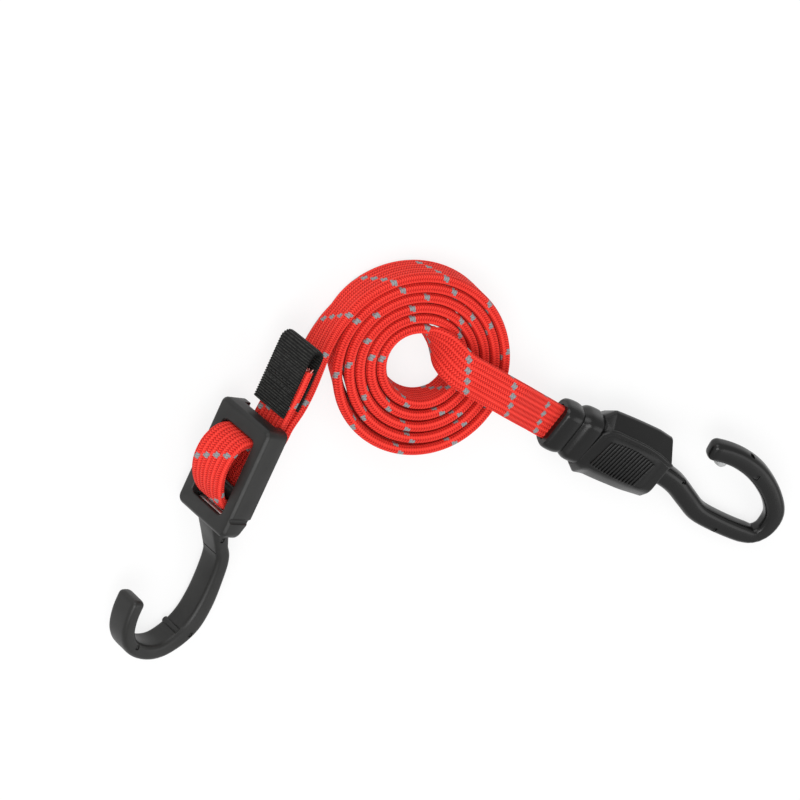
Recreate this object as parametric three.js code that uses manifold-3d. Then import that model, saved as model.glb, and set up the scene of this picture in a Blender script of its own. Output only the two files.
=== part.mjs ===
// A flat adjustable bungee cord, wound up and laid on a table. A woven elastic strap stands on edge
// in a coil. Its inner end climbs out of the coil to a moulded grip with a hook, and its outer end
// runs to an adjuster frame with a hook of its own, where it doubles back to a tail with a pull tab.
// Millimetres, +Z up, the table at z = 0.

import * as THREE from 'three';
import { mergeVertices } from 'three/addons/utils/BufferGeometryUtils.js';
import Module from 'manifold-3d';

const wasm = await Module();
wasm.setup();

// Driving dimensions
const CLEARANCE = 0.3; // gap between pieces that touch
const DEGREE = Math.PI / 180;

// Strap: a woven sheath round flat rubber
const STRAP_WIDTH = 20;
const STRAP_THICKNESS = 4.3;
const STRAP_EDGE = 1.1; // chamfer along the strap's edges
const SHEATH_WALL = 0.9;

// Coil: the radius at each angle, seen from above, winding outwards anticlockwise
const COIL_CENTRE = [-0.5, -1.5];
const COIL_CORE_RADIUS = 14.5; // radius that the winding would have at angle zero
const COIL_PITCH = 5.18; // growth in each turn
const COIL_SHIFT = [0.4, -0.86]; // shift of the first turn towards +X and +Y
const COIL_DRIFT = [0.3, 0.26]; // growth of that shift in each turn
const COIL_SQUASH = -0.6; // how far each turn is pressed out of round
const COIL_LEAN = 8; // degrees by which the strap leans outwards on the slack side
const COIL_LEAN_GROWTH = 2; // growth of that lean in each turn, in degrees
const COIL_SLACK_SIDE = 345; // the direction in which it leans most, in degrees
const COIL_START = 215; // degrees
const COIL_END = 2077; // degrees
const STEPS_PER_TURN = 24;

// Free stretch from the coil's inner end to the grip: x, y, z and the lean of the strap's width
// from upright towards the left of its way, in degrees
const LEAD_ROUTE = [
  [-14.6, -7.6, 10.2, 0],
  [-13.9, -4.0, 12.2, 5],
  [-13.1, -0.2, 15.9, 20],
  [-12.5, 4.0, 20.3, 41],
  [-11.9, 8.0, 23.6, 55],
  [-11.5, 12.8, 26.1, 64],
  [-11.4, 19.5, 27.1, 69],
  [-11.8, 27, 27.4, 69],
  [-12.6, 34.5, 27.2, 69],
  [-13.9, 42, 26.2, 69],
  [-15.4, 49, 22.8, 69],
  [-17.0, 56, 18.4, 69],
  [-18.6, 63.5, 14.9, 69],
];

// Free stretch from the coil's outer end to the adjuster
const RUN_ROUTE = [
  [13, -45.5, 10.2, 1],
  [23, -44.4, 11.2, 6],
  [33, -42.4, 13.2, 12],
  [43, -40.6, 15.9, 18],
  [52, -39.6, 18.6, 22],
];

// Adjuster: a frame with a window, and a hook in one moulding with it. In its own axes x runs from
// the strap's end to the hook, y across the strap, and z out of the front face.
const ADJUSTER_PLACE = [93, -49.1]; // middle of the front face
const ADJUSTER_HEADING = 20.25;
const ADJUSTER_DIP = 8;
const ADJUSTER_ROLL = 65.75;
const WINDOW_LENGTH = 39;
const WINDOW_SIDE_ROOM = 1.5; // between the strap's edge and the window's side
const WINDOW_CORNER = 2;
const FRAME_END = 8.2; // length of solid frame at each end of the window
const FRAME_SIDE = 6.7; // width of the frame on each side of the window
const FRAME_DEPTH = 12.5;
const FRAME_CORNER = 3.6;
const FRAME_BEVEL = 0.8;
const FRAME_SLOPE_LENGTH = 10.7; // how far the back slopes up to the hook's end
const FRAME_SLOPE = 20; // degrees
const FRAME_SCOOP = 4; // lead-in for the strap on the back of the strap's end
const SIDE_GROOVE_WIDTH = 1.4;
const SIDE_GROOVE_DEPTH = 0.7;
const BAR_INSET = 9; // from the window's hook end to the bar that the strap turns round
const BAR_DEPTH = 7.5; // from the front face to the bar's middle
const BAR_RADIUS = 3.2;

// Middle line of the adjuster's hook, x from the frame's hook end, and z
const ADJUSTER_HOOK_LINE = [
  [-4.7, -7.2],
  [2.3, -11],
  [10.3, -15.6],
  [18.3, -19.4],
  [29.3, -21.3],
  [42.3, -21.6],
  [53.3, -19.3],
  [62.3, -13.6],
  [67.7, -6.6],
  [69.2, 1],
  [66.9, 9.8],
  [61.8, 15.4],
  [52.3, 18.4],
  [41.1, 18.8],
];
const ADJUSTER_HOOK_WIDTH = 13;
const ADJUSTER_HOOK_THICKNESS = 7;
const ADJUSTER_HOOK_ROUND = 2.2;
const HOOK_ROOT_SWELL = 1.4; // the arm's thickness at its root, as a share of its thickness
const HOOK_ROOT_SHARE = 0.25; // share of the arm's length over which that swelling dies away
const HOOK_TIP_ROUNDING = 0.14; // share of the section lost at the very tip
const RIDGE_PLACE = [55.7, -14.7]; // stop ridge across the hook's inner face, as on its line
const RIDGE_RADIUS = 1.4;
const ADJUSTER_WIRE_RADIUS = 1.9;
const CROSSBAR_INSET = 1.4; // from the window's hook end to the middle of the wire's crossbar
const CROSSBAR_DEPTH = 5; // from the front face
const CROSSBAR_SIDE_ROOM = 3; // between the crossbar's end and the window's side
const ADJUSTER_TIP_COVER = 7; // length of hook tip beyond the wire

// Strap round the adjuster's bar, middle line in four stretches: in under the frame's strap end, round
// the bar, back out of the window, and on to the tail's cut end. Each point has an x, a z and, where
// the strap bulges out of the window, the tilt of its width in degrees. x is from the window's strap
// end, or from the bar's middle where the strap goes round it.
const ENTRY_ROUTE = [
  [-6.5, -21.1],
  [-1.5, -20.7],
  [3.5, -19.6],
  [11.5, -17.9],
];
const BAR_ROUTE = [
  [-10.5, -16.2],
  [-4, -14.2],
  [0, -13.2],
  [4, -11.5],
  [5.65, -7.5],
  [4.4, -2.8],
  [1, 1.2, 3],
  [-4.5, 4.3, 6],
];
const EXIT_ROUTE = [
  [18.5, 5.8, 8],
  [11.5, 4.6, 8],
  [6.3, 0.8, 5],
  [3.4, -5, 2],
  [2.7, -10.5],
  [1.5, -14],
  [-1.5, -15.9],
  [-6.5, -16.2],
];
const TAIL_ROUTE = [
  [-6.5, -16.2],
  [-13.5, -15.9],
  [-25, -15.6],
  [-36.5, -15.4],
];

// Pull tab: webbing folded round the tail's cut end and sewn through
const TAB_OVERHANG = 1; // beyond each edge of the strap
const TAB_THICKNESS = 1.6;
const TAB_FRONT_LAP = 24; // length of the tail that the front covers
const TAB_BACK_LAP = 20;
const TAB_LOOP = 6.5; // from the tail's cut end to where the fold's bend begins
const TAB_EDGE = 0.5;
const STITCH_INSET = 10; // from the tail's cut end
const STITCH_WIDTH = 12;
const STITCH_LENGTH = 1.8;
const STITCH_HEAD = 0.7; // how far the stitching stands past its slot and over the webbing

// Grip and fixed hook, one moulding with a cover. In its own axes x runs from the strap's mouth to
// the hook, y to the left across the strap, and z out of the ribbed face.
const GRIP_PLACE = [-19.8, 72.9]; // middle of the mouth
const GRIP_HEADING = 105;
const GRIP_DIP = 1.5;
const GRIP_ROLL = 21;
const RING_ROUND = 5;
const RING_PROFILE = [ // x, and the rings' walls beside the strap and over its faces
  [1, 1.9, 3.05],
  [2.3, 2.8, 4.25],
  [5, 3.3, 4.95],
  [8.4, 3.3, 4.95],
  [10.7, 2.8, 4.45],
  [11.7, 2.2, 3.85],
  [12.6, 3.0, 4.55],
  [15.3, 4.6, 5.75],
  [19.2, 4.9, 5.95],
  [22, 4.3, 5.45],
  [23.2, 3.7, 4.85],
  [25.4, 3.7, 4.85],
];
const BODY_SLOPE_WIDTH = 8.4; // from the edge of the face out to the parting line
const BODY_FACE_MARGIN = 0.6; // from the crimp's edge to the edge of the face
const BODY_WALL = 5.25; // from the crimp to the face
const BODY_EDGE = 1.2; // half height of the upright edge at the parting line
const BODY_SKEW = 6; // degrees by which the hook's end is cut off square
const BODY_SKEW_START = 60; // where that end begins
const BODY_PROFILE = [ // x, share of the width and share of the thickness
  [23.4, 0.86, 0.9],
  [25.3, 0.985, 1],
  [46, 1, 1],
  [57, 0.98, 1],
  [63, 0.95, 0.9],
  [66.3, 0.86, 0.76],
  [69.5, 0.55, 0.62],
  [72, 0.3, 0.5],
];
const FIXED_HOOK_LINE = [ // middle line, x and y
  [56.6, -1.6],
  [68, -2.6],
  [79.3, -5.2],
  [90.6, -10],
  [100, -13.2],
  [110.3, -13.9],
  [130, -13.8],
  [138.6, -12],
  [142, -5.8],
  [139.6, 2.4],
  [128.8, 10.2],
  [114.1, 19.2],
  [101.5, 22.8],
  [91.8, 23.3],
  [82.5, 21.8],
];
const FIXED_HOOK_WIDTH = 9.2; // in the hook's plane
const FIXED_HOOK_THICKNESS = 9;
const FIXED_HOOK_ROUND = 3.2;
const FIXED_WIRE_RADIUS = 2.4;
const FIXED_TIP_COVER = 16; // length of hook tip beyond the wire, with the pad in it
const STRAP_END = 39.3; // how far the strap goes into the grip
const CRIMP_START = 26.8;
const CRIMP_WALL = 1.2;
const PIN_RADIUS = 1.8;
const PIN_FOOT = 2.4; // depth of the pin below the crimp
const PIN_HEAD = 2.4; // height of the pin above the crimp
const COVER_START = 25.9;
const COVER_END = 60.8;
const COVER_MARGIN = 0.5; // from the cover's side to the edge of the grip's face
const COVER_CORNER = 3;
const COVER_THICKNESS = 1.8;
const COVER_PROUD = 1; // how far the cover stands above the grip's face
const RIB_COUNT = 15;
const RIB_INSET = 3.8; // from the cover's strap end to the first rib
const RIB_PITCH = 2;
const RIB_WIDTH = 1;
const RIB_HEIGHT = 0.6;
const RIB_MARGIN = 2.2; // from a rib's end to the cover's side
const PAD_PLACE = [92.8, 17.9]; // x and y of the tip's pad
const PAD_RADIUS = 3.6;

// Sizes that follow from the driving ones
const WINDOW_WIDTH = STRAP_WIDTH + 2 * WINDOW_SIDE_ROOM;
const FRAME_LENGTH = WINDOW_LENGTH + 2 * FRAME_END;
const FRAME_WIDTH = WINDOW_WIDTH + 2 * FRAME_SIDE;
const STRAP_END_PLACE = -WINDOW_LENGTH / 2;
const BAR_PLACE = WINDOW_LENGTH / 2 - BAR_INSET;
const TAB_WIDTH = STRAP_WIDTH + 2 * TAB_OVERHANG;
const CRIMP_HALF_WIDTH = STRAP_WIDTH / 2 + CLEARANCE;
const CRIMP_HALF_THICKNESS = STRAP_THICKNESS / 2 + CLEARANCE + CRIMP_WALL;
const CRIMP_END = STRAP_END + CLEARANCE + CRIMP_WALL;
const PIN_PLACE = (CRIMP_START + STRAP_END) / 2;
const BODY_FACE_HALF_WIDTH = CRIMP_HALF_WIDTH + BODY_FACE_MARGIN;
const BODY_HALF_THICKNESS = CRIMP_HALF_THICKNESS + BODY_WALL;
const COVER_HALF_WIDTH = BODY_FACE_HALF_WIDTH - COVER_MARGIN;
const COVER_TOP = BODY_HALF_THICKNESS + COVER_PROUD;
const COVER_FLOOR = COVER_TOP - COVER_THICKNESS;

// Materials
const SHEATH = new THREE.MeshStandardMaterial({ color: 0xe0352b, roughness: 0.85, metalness: 0 });
const RUBBER = new THREE.MeshStandardMaterial({ color: 0xcfc6b4, roughness: 0.7, metalness: 0 });
const WEBBING = new THREE.MeshStandardMaterial({ color: 0x242422, roughness: 0.9, metalness: 0 });
const NYLON = new THREE.MeshStandardMaterial({ color: 0x3c3c3b, roughness: 0.55, metalness: 0 });
const GLOSSY_NYLON = new THREE.MeshStandardMaterial({ color: 0x2d2d2d, roughness: 0.4, metalness: 0 });
const STEEL = new THREE.MeshStandardMaterial({ color: 0xb8b9ba, roughness: 0.3, metalness: 1 });
const PALE_RUBBER = new THREE.MeshStandardMaterial({ color: 0xbfc0c0, roughness: 0.5, metalness: 0 });

// A flat outline with rounded corners, anticlockwise; the first number runs along the width
function roundedOutline(width, thickness, radius, steps) {
  const corners = [[1, -1], [1, 1], [-1, 1], [-1, -1]];
  const outline = [];
  corners.forEach(([side, up], corner) => {
    const x = side * (width / 2 - radius);
    const y = up * (thickness / 2 - radius);
    for (let step = 0; step <= steps; step += 1) {
      const angle = (corner - 1 + step / steps) * Math.PI / 2;
      outline.push([x + radius * Math.cos(angle), y + radius * Math.sin(angle)]);
    }
  });
  return outline;
}

function circleOutline(radius, sides) {
  const angles = Array.from({ length: sides }, (unused, side) => 2 * Math.PI * (side + 0.5) / sides);
  return angles.map((angle) => [radius * Math.cos(angle), radius * Math.sin(angle)]);
}

// A station is a point on a route, the direction of the width there, and shares of the outline's
// width and thickness
function station(at, across, wide = 1, thick = 1) {
  return { at, across, wide, thick };
}

// A station where one stretch ends and the next begins, facing the same way for both
function meeting(at, across, way) {
  return { at, across, wide: 1, thick: 1, way };
}

// The way that a route takes at one of its stations
function heading(stations, index) {
  if (stations[index].way) return stations[index].way.clone();
  const before = stations[Math.max(index - 1, 0)].at;
  const after = stations[Math.min(index + 1, stations.length - 1)].at;
  return after.clone().sub(before).normalize();
}

// The outline's points at one station
function ring(stations, index, outline) {
  const { at, across, wide, thick } = stations[index];
  const way = heading(stations, index);
  const width = across.clone().addScaledVector(way, -across.dot(way)).normalize();
  const through = way.clone().cross(width);
  return outline.map(([w, t]) => {
    const point = at.clone().addScaledVector(width, w * wide);
    return point.addScaledVector(through, t * thick);
  });
}

// A closed skin through a row of stations, with a bore right through it if one is given
function loft(stations, outline, bore) {
  const sides = outline.length;
  const rows = stations.length;
  const outer = stations.flatMap((unused, index) => ring(stations, index, outline));
  const inner = bore ? stations.flatMap((unused, index) => ring(stations, index, bore)) : [];
  const points = outer.concat(inner);
  const faces = [];
  const quad = (a, b, c, d) => faces.push(a, b, c, a, c, d);
  const first = outer.length;
  for (let row = 0; row + 1 < rows; row += 1) {
    for (let side = 0; side < sides; side += 1) {
      const a = row * sides + side;
      const b = row * sides + (side + 1) % sides;
      quad(a, b, b + sides, a + sides);
      if (bore) quad(first + a, first + a + sides, first + b + sides, first + b);
    }
  }
  const last = (rows - 1) * sides;
  for (let side = 0; side < sides; side += 1) {
    const next = (side + 1) % sides;
    if (bore) {
      quad(side, first + side, first + next, next);
      quad(last + side, last + next, first + last + next, first + last + side);
    } else if (side > 0 && next > 0) {
      faces.push(0, next, side);
      faces.push(last, last + side, last + next);
    }
  }
  const geometry = new THREE.BufferGeometry().setFromPoints(points);
  geometry.setIndex(faces);
  return geometry;
}

// Joins and cuts
function solid(geometry) {
  const bare = new THREE.BufferGeometry();
  bare.setAttribute('position', geometry.getAttribute('position').clone());
  bare.setIndex(geometry.getIndex());
  const merged = mergeVertices(bare, 1e-4);
  const mesh = new wasm.Mesh({
    numProp: 3,
    vertProperties: new Float32Array(merged.getAttribute('position').array),
    triVerts: new Uint32Array(merged.getIndex().array),
  });
  return new wasm.Manifold(mesh);
}

function skin(manifold) {
  const mesh = manifold.getMesh();
  const geometry = new THREE.BufferGeometry();
  geometry.setAttribute('position', new THREE.BufferAttribute(mesh.vertProperties, 3));
  geometry.setIndex(new THREE.BufferAttribute(mesh.triVerts, 1));
  return geometry;
}

function block(low, high) {
  const size = high.map((value, axis) => value - low[axis]);
  const middle = high.map((value, axis) => (value + low[axis]) / 2);
  return solid(new THREE.BoxGeometry(...size).translate(...middle));
}

// A round bar along y
function crossBar([x, z], radius, length, sides) {
  return solid(new THREE.CylinderGeometry(radius, radius, length, sides).translate(x, 0, z));
}

// A round pin along z
function uprightPin(x, radius, low, high) {
  const pin = new THREE.CylinderGeometry(radius, radius, high - low, 12).rotateX(Math.PI / 2);
  return solid(pin.translate(x, 0, (low + high) / 2));
}

function part(name, geometry, material) {
  const mesh = new THREE.Mesh(geometry.toNonIndexed(), material);
  mesh.geometry.computeVertexNormals();
  mesh.name = name;
  return mesh;
}

// Strap
function strapSection(inset, edge) {
  return roundedOutline(STRAP_WIDTH - 2 * inset, STRAP_THICKNESS - 2 * inset, edge, 1);
}

const strapOutline = strapSection(0, STRAP_EDGE);
const boreOutline = strapSection(SHEATH_WALL, STRAP_EDGE / 2);
const rubberOutline = strapSection(SHEATH_WALL + CLEARANCE, STRAP_EDGE / 3);

// The stations with an end drawn back by half the clearance, where the next stretch meets it
function drawnBack(stations, start, end) {
  const result = stations.slice();
  const last = result.length - 1;
  const pull = (index, distance) => {
    const way = heading(stations, index);
    const { at, across } = result[index];
    result[index] = meeting(at.clone().addScaledVector(way, distance), across, way);
  };
  if (start) pull(0, CLEARANCE / 2);
  if (end) pull(last, -CLEARANCE / 2);
  return result;
}

function sheath(stations) {
  return loft(stations, strapOutline, boreOutline);
}

function rubber(stations) {
  return loft(stations, rubberOutline);
}

// Stations of a hand-laid route: the width leans from upright to the left of the strap's way
function routeStations(route) {
  const up = new THREE.Vector3(0, 0, 1);
  const points = route.map(([x, y, z]) => station(new THREE.Vector3(x, y, z), up));
  return points.map(({ at }, index) => {
    const left = up.clone().cross(heading(points, index)).normalize();
    const lean = route[index][3] * DEGREE;
    const across = up.clone().multiplyScalar(Math.cos(lean)).addScaledVector(left, Math.sin(lean));
    return station(at, across);
  });
}

// Stations of a line in the x-z plane, its x from a given place, with the width along y or tilted
// from it
function flatStations(line, place = 0) {
  return line.map(([x, z, tilt = 0]) => {
    const across = new THREE.Vector3(0, Math.cos(tilt * DEGREE), -Math.sin(tilt * DEGREE));
    return station(new THREE.Vector3(place + x, 0, z), across);
  });
}

// Coil
function coilStation(degrees) {
  const angle = degrees * DEGREE;
  const turn = degrees / 360;
  const outward = new THREE.Vector3(Math.cos(angle), Math.sin(angle), 0);
  const slack = Math.max(0, Math.cos(angle - COIL_SLACK_SIDE * DEGREE));
  const lean = (COIL_LEAN + COIL_LEAN_GROWTH * turn) * slack * DEGREE;
  const [shiftX, shiftY] = COIL_SHIFT.map((shift, axis) => shift + COIL_DRIFT[axis] * turn);
  const squash = COIL_SQUASH * Math.sin(2 * angle);
  const upper = COIL_CORE_RADIUS + COIL_PITCH * turn + shiftX * outward.x + shiftY * outward.y + squash;
  const radius = upper - Math.sin(lean) * STRAP_WIDTH / 2;
  const height = Math.cos(lean) * STRAP_WIDTH / 2 + Math.sin(lean) * (STRAP_THICKNESS / 2 - STRAP_EDGE);
  const at = outward.clone().multiplyScalar(radius).add(new THREE.Vector3(...COIL_CENTRE, height));
  const across = new THREE.Vector3(0, 0, Math.cos(lean)).addScaledVector(outward, Math.sin(lean));
  return station(at, across);
}

function coilStations() {
  const step = 360 / STEPS_PER_TURN;
  const angles = [COIL_START];
  for (let angle = Math.ceil(COIL_START / step + 0.5) * step; angle < COIL_END - step / 2; angle += step) {
    angles.push(angle);
  }
  angles.push(COIL_END);
  return angles.map((angle) => coilStation(angle));
}

const coilLine = coilStations();

// The least gap between turns, measured on the skin's points, more than half a turn apart
function leastCoilGap() {
  const rings = coilLine.map((unused, index) => ring(coilLine, index, strapOutline));
  let least = Infinity;
  for (let a = 0; a < rings.length; a += 1) {
    for (let b = a + STEPS_PER_TURN / 2; b < rings.length; b += 1) {
      rings[a].forEach((point) => rings[b].forEach((other) => {
        least = Math.min(least, point.distanceTo(other));
      }));
    }
  }
  return least;
}

console.log(`least gap between the coil's turns: ${leastCoilGap().toFixed(2)} mm`);

// Adjuster
function frameBlank() {
  const rounded = (path, length, width, radius) => {
    const x = length / 2 - radius;
    const y = width / 2 - radius;
    path.absarc(x, -y, radius, -Math.PI / 2, 0);
    path.absarc(x, y, radius, 0, Math.PI / 2);
    path.absarc(-x, y, radius, Math.PI / 2, Math.PI);
    path.absarc(-x, -y, radius, Math.PI, Math.PI * 1.5);
    path.closePath();
    return path;
  };
  const outline = rounded(new THREE.Shape(), FRAME_LENGTH, FRAME_WIDTH, FRAME_CORNER);
  outline.holes.push(rounded(new THREE.Path(), WINDOW_LENGTH, WINDOW_WIDTH, WINDOW_CORNER));
  const blank = new THREE.ExtrudeGeometry(outline, {
    depth: FRAME_DEPTH - 2 * FRAME_BEVEL,
    curveSegments: 3,
    bevelThickness: FRAME_BEVEL,
    bevelSize: FRAME_BEVEL,
    bevelOffset: -FRAME_BEVEL,
    bevelSegments: 1,
  });
  return solid(blank.translate(0, 0, FRAME_BEVEL - FRAME_DEPTH));
}

// The back slopes up towards the hook from its start
function frameSlope() {
  const wedge = new THREE.BoxGeometry(FRAME_LENGTH, 2 * FRAME_WIDTH, FRAME_DEPTH);
  wedge.translate(FRAME_LENGTH / 2, 0, -FRAME_DEPTH / 2).rotateY(-FRAME_SLOPE * DEGREE);
  return solid(wedge.translate(FRAME_LENGTH / 2 - FRAME_SLOPE_LENGTH, 0, -FRAME_DEPTH));
}

// The strap's lead-in, cut across the back of the strap's end
function frameScoop() {
  const bar = new THREE.CylinderGeometry(FRAME_SCOOP, FRAME_SCOOP, WINDOW_WIDTH, 12);
  return solid(bar.translate(-FRAME_LENGTH / 2, 0, -FRAME_DEPTH));
}

// A groove down the upper side, level with the window's hook end
function sideGroove() {
  const half = SIDE_GROOVE_WIDTH / 2;
  const edge = FRAME_WIDTH / 2;
  const low = [WINDOW_LENGTH / 2 - half, edge - SIDE_GROOVE_DEPTH, -FRAME_DEPTH];
  const high = [WINDOW_LENGTH / 2 + half, edge + SIDE_GROOVE_DEPTH, FRAME_BEVEL];
  return block(low, high);
}

// Stations along a hook's middle line, with a swollen root and a blunt rounded tip
function hookStations(points, across, steps, rootSwell) {
  const line = new THREE.CatmullRomCurve3(points, false, 'centripetal');
  return line.getSpacedPoints(steps).map((at, index) => {
    const root = Math.max(0, 1 - index / (steps * HOOK_ROOT_SHARE));
    const tip = Math.max(0, 1 - (steps - index) / 2);
    const share = 1 - HOOK_TIP_ROUNDING * tip * tip;
    return station(at, across, share, share * (1 + (rootSwell - 1) * root));
  });
}

const frameEnd = FRAME_LENGTH / 2;
const adjusterHookPoints = ADJUSTER_HOOK_LINE.map(([x, z]) => new THREE.Vector3(frameEnd + x, 0, z));
const acrossY = new THREE.Vector3(0, 1, 0);
const acrossZ = new THREE.Vector3(0, 0, 1);

function adjusterArm() {
  const outline = roundedOutline(ADJUSTER_HOOK_WIDTH, ADJUSTER_HOOK_THICKNESS, ADJUSTER_HOOK_ROUND, 2);
  return solid(loft(hookStations(adjusterHookPoints, acrossY, 28, HOOK_ROOT_SWELL), outline));
}

// The wire follows the hook's middle line from a start of its own and stops short of the tip
function wireStations(start, points, across, steps, cover) {
  const line = new THREE.CatmullRomCurve3([start, ...points.slice(1)], false, 'centripetal');
  const reach = 1 - cover / line.getLength();
  const shares = Array.from({ length: steps + 1 }, (unused, index) => reach * index / steps);
  return shares.map((share) => station(line.getPointAt(share), across));
}

// The steel core: a crossbar in the frame's end with the hook's wire joined to it
function adjusterWire(extra) {
  const place = [WINDOW_LENGTH / 2 + CROSSBAR_INSET, -CROSSBAR_DEPTH];
  const start = new THREE.Vector3(place[0], 0, place[1]);
  const stations = wireStations(start, adjusterHookPoints, acrossY, 22, ADJUSTER_TIP_COVER - extra);
  const radius = ADJUSTER_WIRE_RADIUS + extra;
  const length = WINDOW_WIDTH - 2 * CROSSBAR_SIDE_ROOM + 2 * extra;
  return solid(loft(stations, circleOutline(radius, 8))).add(crossBar(place, radius, length, 12));
}

function adjusterMoulding() {
  let moulding = frameBlank().subtract(frameSlope()).subtract(frameScoop()).subtract(sideGroove());
  moulding = moulding.add(crossBar([BAR_PLACE, -BAR_DEPTH], BAR_RADIUS, WINDOW_WIDTH + FRAME_SIDE, 14));
  const ridgePlace = [frameEnd + RIDGE_PLACE[0], RIDGE_PLACE[1]];
  const ridgeLength = ADJUSTER_HOOK_WIDTH - 2 * ADJUSTER_HOOK_ROUND;
  moulding = moulding.add(adjusterArm()).add(crossBar(ridgePlace, RIDGE_RADIUS, ridgeLength, 8));
  return skin(moulding.subtract(adjusterWire(CLEARANCE)));
}

// Pull tab
const [tailReach, tailMiddle] = TAIL_ROUTE[TAIL_ROUTE.length - 1];
const tailEnd = STRAP_END_PLACE + tailReach;
const tabOffset = STRAP_THICKNESS / 2 + 2 * CLEARANCE + TAB_THICKNESS / 2;

// The webbing's middle line, x from the tail's cut end
function tabSheet() {
  const front = [[TAB_FRONT_LAP, tabOffset], [TAB_FRONT_LAP / 2, tabOffset]];
  const bend = [0, 30, 60, 90, 120, 150, 180].map((degrees) => {
    const angle = degrees * DEGREE;
    return [-TAB_LOOP - tabOffset * Math.sin(angle), tabOffset * Math.cos(angle)];
  });
  const back = [[TAB_BACK_LAP / 2, -tabOffset], [TAB_BACK_LAP, -tabOffset]];
  const line = [...front, ...bend, ...back].map(([x, z]) => [tailEnd + x, tailMiddle + z]);
  return loft(flatStations(line), roundedOutline(TAB_WIDTH, TAB_THICKNESS, TAB_EDGE, 1));
}

// The bar of thread: a web through every layer, with a head over the webbing on each side
function stitching(extra) {
  const reach = tabOffset + TAB_THICKNESS / 2 + CLEARANCE;
  const half = [STITCH_LENGTH / 2, STITCH_WIDTH / 2, reach + STITCH_HEAD];
  const web = half.map((value, axis) => value + (axis < 2 ? extra : 0));
  const at = [tailEnd + STITCH_INSET, 0, tailMiddle];
  const low = at.map((value, axis) => value - web[axis]);
  const high = at.map((value, axis) => value + web[axis]);
  return block(low, high);
}

function stitchHead(side) {
  const near = tailMiddle + side * (tabOffset + TAB_THICKNESS / 2 + CLEARANCE);
  const far = near + side * STITCH_HEAD;
  const at = tailEnd + STITCH_INSET;
  const x = STITCH_LENGTH / 2 + STITCH_HEAD;
  const y = STITCH_WIDTH / 2 + STITCH_HEAD;
  return block([at - x, -y, Math.min(near, far)], [at + x, y, Math.max(near, far)]);
}

function sewn(geometry) {
  return skin(solid(geometry).subtract(stitching(CLEARANCE)));
}

// Grip
function collarRings() {
  const stations = RING_PROFILE.map(([x, side, face]) => {
    const wide = 1 + 2 * side / STRAP_WIDTH;
    const thick = 1 + 2 * face / STRAP_THICKNESS;
    return station(new THREE.Vector3(x, 0, 0), acrossY, wide, thick);
  });
  const [, widestSide, widestFace] = RING_PROFILE[3];
  const width = STRAP_WIDTH + 2 * widestSide;
  const thickness = STRAP_THICKNESS + 2 * widestFace;
  const outline = roundedOutline(width, thickness, RING_ROUND, 3);
  const share = outline.map(([w, t]) => [w * STRAP_WIDTH / width, t * STRAP_THICKNESS / thickness]);
  return solid(loft(stations, share));
}

function gripBody() {
  const edge = BODY_FACE_HALF_WIDTH + BODY_SLOPE_WIDTH;
  const right = [
    [BODY_FACE_HALF_WIDTH, -BODY_HALF_THICKNESS],
    [edge, -BODY_EDGE],
    [edge, BODY_EDGE],
    [BODY_FACE_HALF_WIDTH, BODY_HALF_THICKNESS],
  ];
  const outline = [...right, ...right.map(([y, z]) => [-y, -z])];
  const stations = BODY_PROFILE.map(([x, wide, thick]) => (
    station(new THREE.Vector3(x, 0, 0), acrossY, wide, thick)));
  const skew = BODY_SKEW * DEGREE;
  stations.filter(({ at }) => at.x > BODY_SKEW_START).forEach((end) => {
    end.way = new THREE.Vector3(Math.cos(skew), Math.sin(skew), 0);
  });
  return solid(loft(stations, outline));
}

const fixedHookPoints = FIXED_HOOK_LINE.map(([x, y]) => new THREE.Vector3(x, y, 0));

function fixedArm() {
  const outline = roundedOutline(FIXED_HOOK_THICKNESS, FIXED_HOOK_WIDTH, FIXED_HOOK_ROUND, 2);
  return solid(loft(hookStations(fixedHookPoints, acrossZ, 34, 1), outline));
}

function fixedWire(extra) {
  const start = new THREE.Vector3(CRIMP_END + 2 * CLEARANCE - extra, 0, 0);
  const stations = wireStations(start, fixedHookPoints, acrossZ, 26, FIXED_TIP_COVER - extra);
  return solid(loft(stations, circleOutline(FIXED_WIRE_RADIUS + extra, 8)));
}

function crimpPin(extra) {
  const foot = CRIMP_HALF_THICKNESS + PIN_FOOT + extra;
  const head = CRIMP_HALF_THICKNESS + PIN_HEAD + extra;
  return uprightPin(PIN_PLACE, PIN_RADIUS + extra, -foot, head);
}

function coverPlate(extra, low, high) {
  const x = (COVER_END - COVER_START) / 2 + extra;
  const stations = [low, high].map((z) => (
    station(new THREE.Vector3((COVER_START + COVER_END) / 2, 0, z), new THREE.Vector3(1, 0, 0))));
  const outline = roundedOutline(2 * x, 2 * (COVER_HALF_WIDTH + extra), COVER_CORNER + extra, 3);
  return solid(loft(stations, outline));
}

// Room for the strap, its crimp and the cover's boss
function gripCavity() {
  const width = STRAP_WIDTH / 2 + CLEARANCE;
  const height = STRAP_THICKNESS / 2 + CLEARANCE;
  const slot = block([-1, -width, -height], [CRIMP_START, width, height]);
  const pocketWidth = CRIMP_HALF_WIDTH + CLEARANCE;
  const pocketLow = [CRIMP_START - CLEARANCE, -pocketWidth, -CRIMP_HALF_THICKNESS - CLEARANCE];
  const pocket = block(pocketLow, [CRIMP_END + CLEARANCE, pocketWidth, COVER_FLOOR]);
  const recess = coverPlate(CLEARANCE, COVER_FLOOR - CLEARANCE, 2 * COVER_TOP);
  return slot.add(pocket).add(recess).add(crimpPin(CLEARANCE)).add(fixedWire(CLEARANCE));
}

function tipPad(extra) {
  const ball = new THREE.SphereGeometry(PAD_RADIUS + extra, 12, 8);
  return solid(ball.translate(PAD_PLACE[0], PAD_PLACE[1], 0));
}

function fixedMoulding() {
  const moulding = collarRings().add(gripBody()).add(fixedArm());
  return skin(moulding.subtract(gripCavity()).subtract(tipPad(CLEARANCE)));
}

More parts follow.
